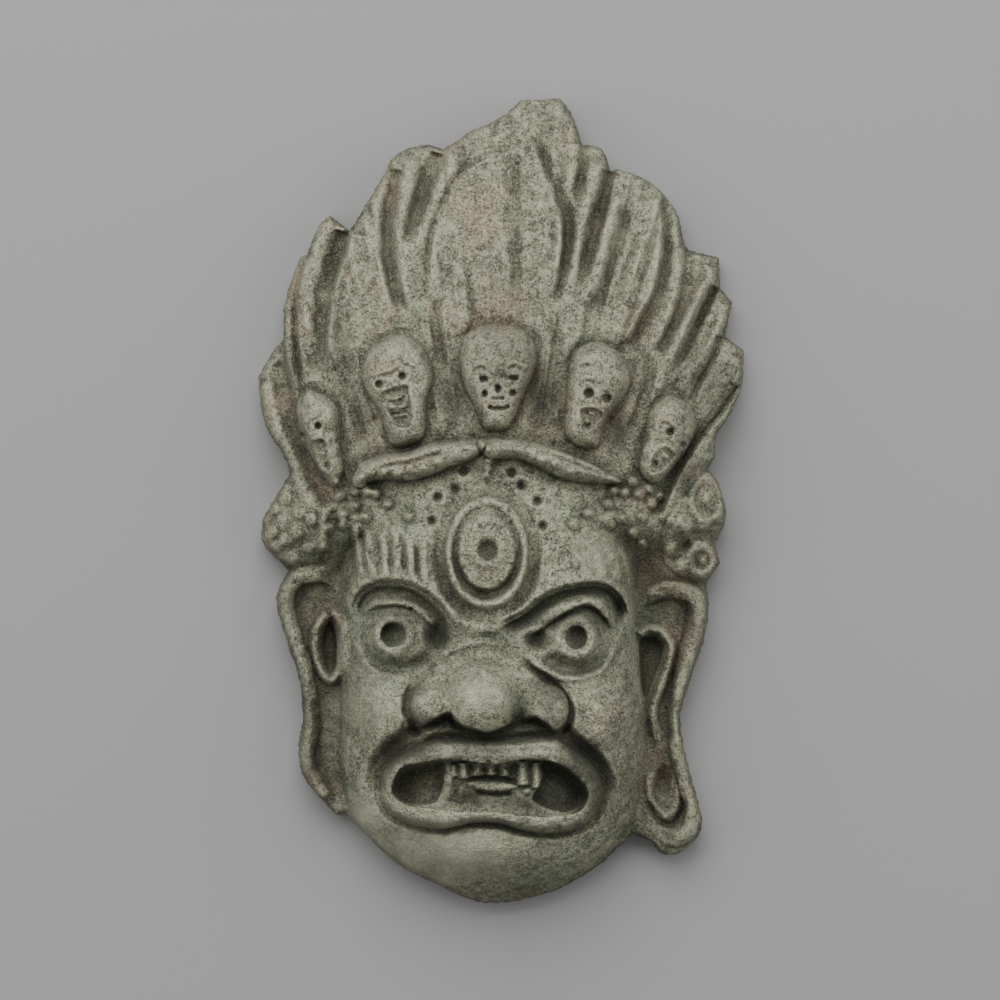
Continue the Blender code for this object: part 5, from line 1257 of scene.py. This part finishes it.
class Paint:
    """One material and its nodes."""

    def __init__(self, name, roughness):
        self.material = bpy.data.materials.new(name)
        self.material.use_nodes = True
        self.tree = self.material.node_tree
        self.shader = self.tree.nodes["Principled BSDF"]
        self.shader.inputs["Roughness"].default_value = roughness
        self.place = self.node("ShaderNodeTexCoord", {}, {}, output="Object")

    def feed(self, socket, value):
        """Links a wire to a socket, or sets the socket's own value."""
        if isinstance(value, Wire):
            self.tree.links.new(value.socket, socket)
        else:
            socket.default_value = value

    def node(self, kind, settings, values, output=0):
        """Adds a node: its settings first, then the values or links of its sockets."""
        made = self.tree.nodes.new(kind)
        for name, value in settings.items():
            setattr(made, name, value)
        for name, value in values.items():
            self.feed(made.inputs[name], value)
        return Wire(self, made.outputs[output])

    def noise(self, size, detail=2.0, roughness=0.5, offset=0.0, distortion=0.0):
        """Noise whose blotches are about size metres across, from 0 to 1."""
        place = self.place
        if offset:
            place = self.node("ShaderNodeVectorMath", {"operation": "ADD"},
                              {0: place, 1: (offset,) * 3})
        values = {
            "Vector": place, "Scale": 1 / size, "Detail": detail, "Roughness": roughness,
            "Distortion": distortion,
        }
        return self.node("ShaderNodeTexNoise", {"noise_dimensions": "3D"}, values)

    def reading(self, name):
        """A value stored on the mesh, point by point."""
        return self.node("ShaderNodeAttribute", {"attribute_name": name}, {}, output="Fac")

    def ramp(self, value, low, high):
        """Goes softly from 0 at low to 1 at high."""
        values = {"Value": value, "From Min": low, "From Max": high}
        settings = {"interpolation_type": "SMOOTHSTEP", "clamp": True}
        return self.node("ShaderNodeMapRange", settings, values)

    def mix(self, share, first, second):
        """One colour over another by a share from 0 to 1."""
        settings = {"data_type": "RGBA", "clamp_factor": True}
        return self.node("ShaderNodeMix", settings, {0: share, 6: first, 7: second}, output=2)

    def finish(self, **sockets):
        """Feeds the shader's own sockets and hands over the material."""
        for name, value in sockets.items():
            self.feed(self.shader.inputs[name.replace("_", " ")], value)
        return self.material


def colour(values):
    """A colour with its alpha."""
    return (*values, 1.0)


def weathered_stone(finish):
    """Grey-green stone: pale lichen, green and tan blooms, dark soil and painted shade where the sky is
    hidden, a painted highlight on worn edges.
    """
    paint = Paint("weathered_stone", finish.roughness)
    sky = paint.reading("sky_seen")
    edge = paint.reading("worn_and_lit_edge")
    face = paint.reading("face_share")
    darker_beside_face = paint.reading("darker_beside_face")
    stain_light_and_shade = paint.reading("stain_light_and_shade")
    blotch = paint.noise(0.050, 3.0, 0.6)
    patch = paint.noise(0.011, 5.0, 0.65, offset=0.7)
    bloom = paint.noise(0.034, 4.0, 0.6, offset=5.3)
    clump = paint.noise(0.0042, 4.0, 0.6, offset=7.7, distortion=0.8)
    fibre = paint.noise(0.0030, 2.0, 0.7, offset=9.1, distortion=1.6)
    speck = paint.noise(0.0013, 1.0, 0.8, offset=1.9)
    grain = paint.noise(0.0012, 1.0, 0.9, offset=3.1)

    tone = paint.mix(paint.ramp(patch, 0.38, 0.62), colour(finish.dark), colour(finish.middle))
    green = paint.ramp(blotch, 0.42, 0.60) * (0.45 + 0.30 * face)
    tone = paint.mix(green, tone, colour(finish.green))
    tan = paint.ramp(bloom, 0.50, 0.64) * (0.95 - 0.65 * face)
    tone = paint.mix(tan, tone, colour(finish.tan))
    lichen = paint.ramp(clump + (blotch - 0.5) * 0.5, 0.40, 0.68) * paint.ramp(sky, 0.35, 0.85)
    tone = paint.mix(lichen * (0.38 + 0.12 * face), tone, colour(finish.light))
    # Worn edges with a painted highlight: convex edges lighter.
    tone = paint.mix(paint.ramp(edge, 0.15, 0.8) * 0.35, tone, colour(finish.light))
    thread = paint.ramp((fibre - 0.5) * (fibre - 0.5), 0.0026, 0.0002)
    pale = paint.ramp(speck + (clump - 0.5) * 0.3, 0.47, 0.66) * 0.62 + thread * 0.26
    # Off the face and low on the sides, the ears and ornaments get fewer pale specks and a darker tone.
    tone = paint.mix(pale * (0.85 - 0.25 * darker_beside_face), tone, colour(finish.light))
    holes = paint.ramp(grain + (clump - 0.5) * 0.4, 0.50, 0.34)
    tone = paint.mix(holes * 0.62, tone, colour(finish.soil_and_shade))
    tone = paint.mix(darker_beside_face * 0.16, tone, colour(finish.soil_and_shade))
    # Stain patches, partly painted shade where darker and painted light where lighter.
    tone = paint.mix(paint.ramp(stain_light_and_shade, 0.0, 1.0), tone, colour(finish.soil_and_shade))
    tone = paint.mix(paint.ramp(stain_light_and_shade, 0.0, -1.0), tone, colour(finish.light))
    # Soil and painted shade: darker in creases, recesses and between parts, where the sky is hidden.
    soil_and_shade = paint.ramp(sky + (patch - 0.5) * 0.30, 0.86, 0.30)
    tone = paint.mix(soil_and_shade * (0.24 * face + 0.66) * finish.soil_and_shade_share, tone, colour(finish.soil_and_shade))

    roughness = finish.roughness - 0.12 * lichen
    height = speck * 0.0009 + grain * 0.0009 + clump * 0.0010
    bump = paint.node("ShaderNodeBump", {}, {"Strength": 0.8, "Distance": 1.0, "Height": height})
    return paint.finish(Base_Color=tone, Roughness=roughness, Normal=bump)


def plain_floor(pale):
    """A matt floor of one shade, a touch uneven."""
    paint = Paint("studio_floor", 0.95)
    shade = paint.mix(paint.noise(0.4), colour(pale), colour([value * 0.985 for value in pale]))
    return paint.finish(Base_Color=shade)


def colour_choice(name, description, default):
    """A colour that the user may change."""
    return bpy.props.FloatVectorProperty(
        name=name, description=description, subtype="COLOR", default=default, min=0.0, max=1.0,
    )


class MASK_PG_shape(bpy.types.PropertyGroup):
    """How finely the mask is carved."""

    triangles: bpy.props.IntProperty(
        name="Triangles", description="How many triangles the finished stone keeps",
        default=190000, min=20000, max=199000,
    )
    detail: bpy.props.FloatProperty(
        name="Detail", description="Distance between the points that are carved",
        default=0.00062, min=0.0003, max=0.003, subtype="DISTANCE", unit="LENGTH",
    )


class MASK_PG_finish(bpy.types.PropertyGroup):
    """Colours of the stone and how much soil and painted shade lie in its hollows."""

    dark: colour_choice("Dark stone", "The stone's darker patches", (0.112, 0.114, 0.078))
    middle: colour_choice("Stone", "The stone's own colour", (0.262, 0.266, 0.172))
    green: colour_choice("Green bloom", "Thin algae on the smooth parts", (0.172, 0.205, 0.125))
    tan: colour_choice("Tan bloom", "Warm stains in the hair", (0.300, 0.222, 0.145))
    # The lichen colour also paints the highlight on edges and the painted light of the lighter patches.
    light: colour_choice("Lichen", "Pale specks and worn edges", (0.560, 0.562, 0.400))
    # The soil colour also paints the shade in the hollows and the darker patches.
    soil_and_shade: colour_choice("Soil", "Dirt in the hollows", (0.020, 0.020, 0.013))
    # Soil cover also sets how dark the painted shade in the hollows is.
    soil_and_shade_share: bpy.props.FloatProperty(
        name="Soil cover", description="How thickly the deepest hollows are covered",
        default=0.92, min=0.0, max=1.0, subtype="FACTOR",
    )
    roughness: bpy.props.FloatProperty(
        name="Roughness", description="Roughness of the bare stone",
        default=0.93, min=0.0, max=1.0, subtype="FACTOR",
    )


class MASK_PG_studio(bpy.types.PropertyGroup):
    """Floor, light and camera."""

    floor: colour_choice("Floor", "The studio floor's colour", (0.37, 0.37, 0.37))
    key_power: bpy.props.FloatProperty(
        name="Key light", description="Power of the soft light above the flames",
        default=38.0, min=0.0, max=500.0, unit="POWER",
    )
    sky_strength: bpy.props.FloatProperty(
        name="Room light", description="Strength of the even light from all round",
        default=0.30, min=0.0, max=5.0,
    )
    camera_distance: bpy.props.FloatProperty(
        name="Camera distance", description="From the camera to the mask's middle height",
        default=6.0, min=1.0, max=20.0, subtype="DISTANCE", unit="LENGTH",
    )
    view_width: bpy.props.FloatProperty(
        name="View width", description="What the camera sees from side to side",
        default=0.5, min=0.1, max=2.0, subtype="DISTANCE", unit="LENGTH",
    )


class MASK_OT_carve(bpy.types.Operator):
    """Carve, weather and finish the stone mask"""

    bl_idname = "guardian.carve_mask"
    bl_label = "Carve Mask"

    def execute(self, context):
        shape = context.scene.guardian_shape
        pitch = shape.detail / MILLIMETRE
        carving = carve(pitch)
        depth = outline_depth(carving)
        face = face_share(carving)
        weather(carving, face)
        front, height = build_front(carving, depth)
        add_walls(front, carving, depth)
        back = build_back(carving, depth, height)
        close_shell(front, back)
        thin_out(front, shape.triangles)
        bpy.ops.object.shade_smooth_by_angle(angle=SHARP_FROM)
        open_sky = sky_seen(np.where(depth > 0, height, 0.0), pitch)
        # Convex edges, for the worn edges and their painted highlight.
        bulge = np.clip(height - blur(height, WORN_AND_LIT_EDGE / pitch), 0, 2) * step(0, 4, depth)
        keep_readings(front, carving, {
            "sky_seen": (open_sky, 0.75),
            "worn_and_lit_edge": (bulge, 0.0),
            "face_share": (face, 0.3),
            # The ears and ornaments low beside the face, made darker.
            "darker_beside_face": ((1 - face) * step(30, -45, carving.y), 0.3),
            "stain_light_and_shade": (stains_light_and_shade(carving), 0.0),
        })
        front.data.materials.clear()
        front.data.materials.append(weathered_stone(context.scene.guardian_finish))
        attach(front, "root")
        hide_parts(NODE)
        return {"FINISHED"}


class MASK_OT_studio(bpy.types.Operator):
    """Set up the floor, the lights and the camera"""

    bl_idname = "guardian.set_up_studio"
    bl_label = "Set Up Studio"

    def execute(self, context):
        studio = context.scene.guardian_studio
        bpy.ops.object.select_all(action="DESELECT")
        bpy.ops.mesh.primitive_plane_add(size=FLOOR_SIZE, location=(0.0, 0.0, FLOOR_HEIGHT))
        floor = context.object
        floor.name = "studio_floor"
        bpy.ops.object.transform_apply(location=True, rotation=False, scale=False)
        floor.data.materials.append(plain_floor(studio.floor))

        for name, place, size, share in LIGHTS:
            bpy.ops.object.light_add(type="AREA", location=place)
            light = context.object
            light.name = name
            light.data.energy = studio.key_power * share
            light.data.size = size
            light.rotation_euler = (-Vector(place)).to_track_quat("-Z", "Y").to_euler()

        room = bpy.data.worlds.new("studio_room")
        context.scene.world = room
        room.use_nodes = True
        background = room.node_tree.nodes["Background"]
        background.inputs["Color"].default_value = (1.0, 1.0, 1.0, 1.0)
        background.inputs["Strength"].default_value = studio.sky_strength

        bpy.ops.object.camera_add(location=(*CAMERA_PLACE, FOCUS_HEIGHT + studio.camera_distance))
        camera = context.object
        camera.name = "camera"
        camera.data.sensor_width = SENSOR_WIDTH
        camera.data.lens = SENSOR_WIDTH * studio.camera_distance / studio.view_width
        camera.data.clip_end = 100.0
        context.scene.camera = camera
        return {"FINISHED"}


class MASK_PT_panel(bpy.types.Panel):
    """Lists the mask's sizes, finish and studio"""

    bl_idname = "MASK_PT_panel"
    bl_label = "Stone Guardian Mask"
    bl_space_type = "VIEW_3D"
    bl_region_type = "UI"
    bl_category = "Mask"

    def draw(self, context):
        layout = self.layout
        for group in (
            context.scene.guardian_shape, context.scene.guardian_finish, context.scene.guardian_studio,
        ):
            box = layout.box()
            for name in group.__annotations__:
                box.prop(group, name)
        layout.operator(MASK_OT_carve.bl_idname)
        layout.operator(MASK_OT_studio.bl_idname)


CLASSES = (
    MASK_PG_shape, MASK_PG_finish, MASK_PG_studio, MASK_OT_carve, MASK_OT_studio, MASK_PT_panel,
)


def register():
    """Registers the classes and their settings."""
    for cls in CLASSES:
        bpy.utils.register_class(cls)
    bpy.types.Scene.guardian_shape = bpy.props.PointerProperty(type=MASK_PG_shape)
    bpy.types.Scene.guardian_finish = bpy.props.PointerProperty(type=MASK_PG_finish)
    bpy.types.Scene.guardian_studio = bpy.props.PointerProperty(type=MASK_PG_studio)


def unregister():
    """Takes the classes and their settings out again."""
    del bpy.types.Scene.guardian_studio
    del bpy.types.Scene.guardian_finish
    del bpy.types.Scene.guardian_shape
    for cls in reversed(CLASSES):
        bpy.utils.unregister_class(cls)


def main():
    """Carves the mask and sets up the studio."""
    register()
    bpy.ops.object.select_all(action="DESELECT")
    bpy.ops.guardian.carve_mask()
    bpy.ops.guardian.set_up_studio()


if __name__ == "__main__":
    main()
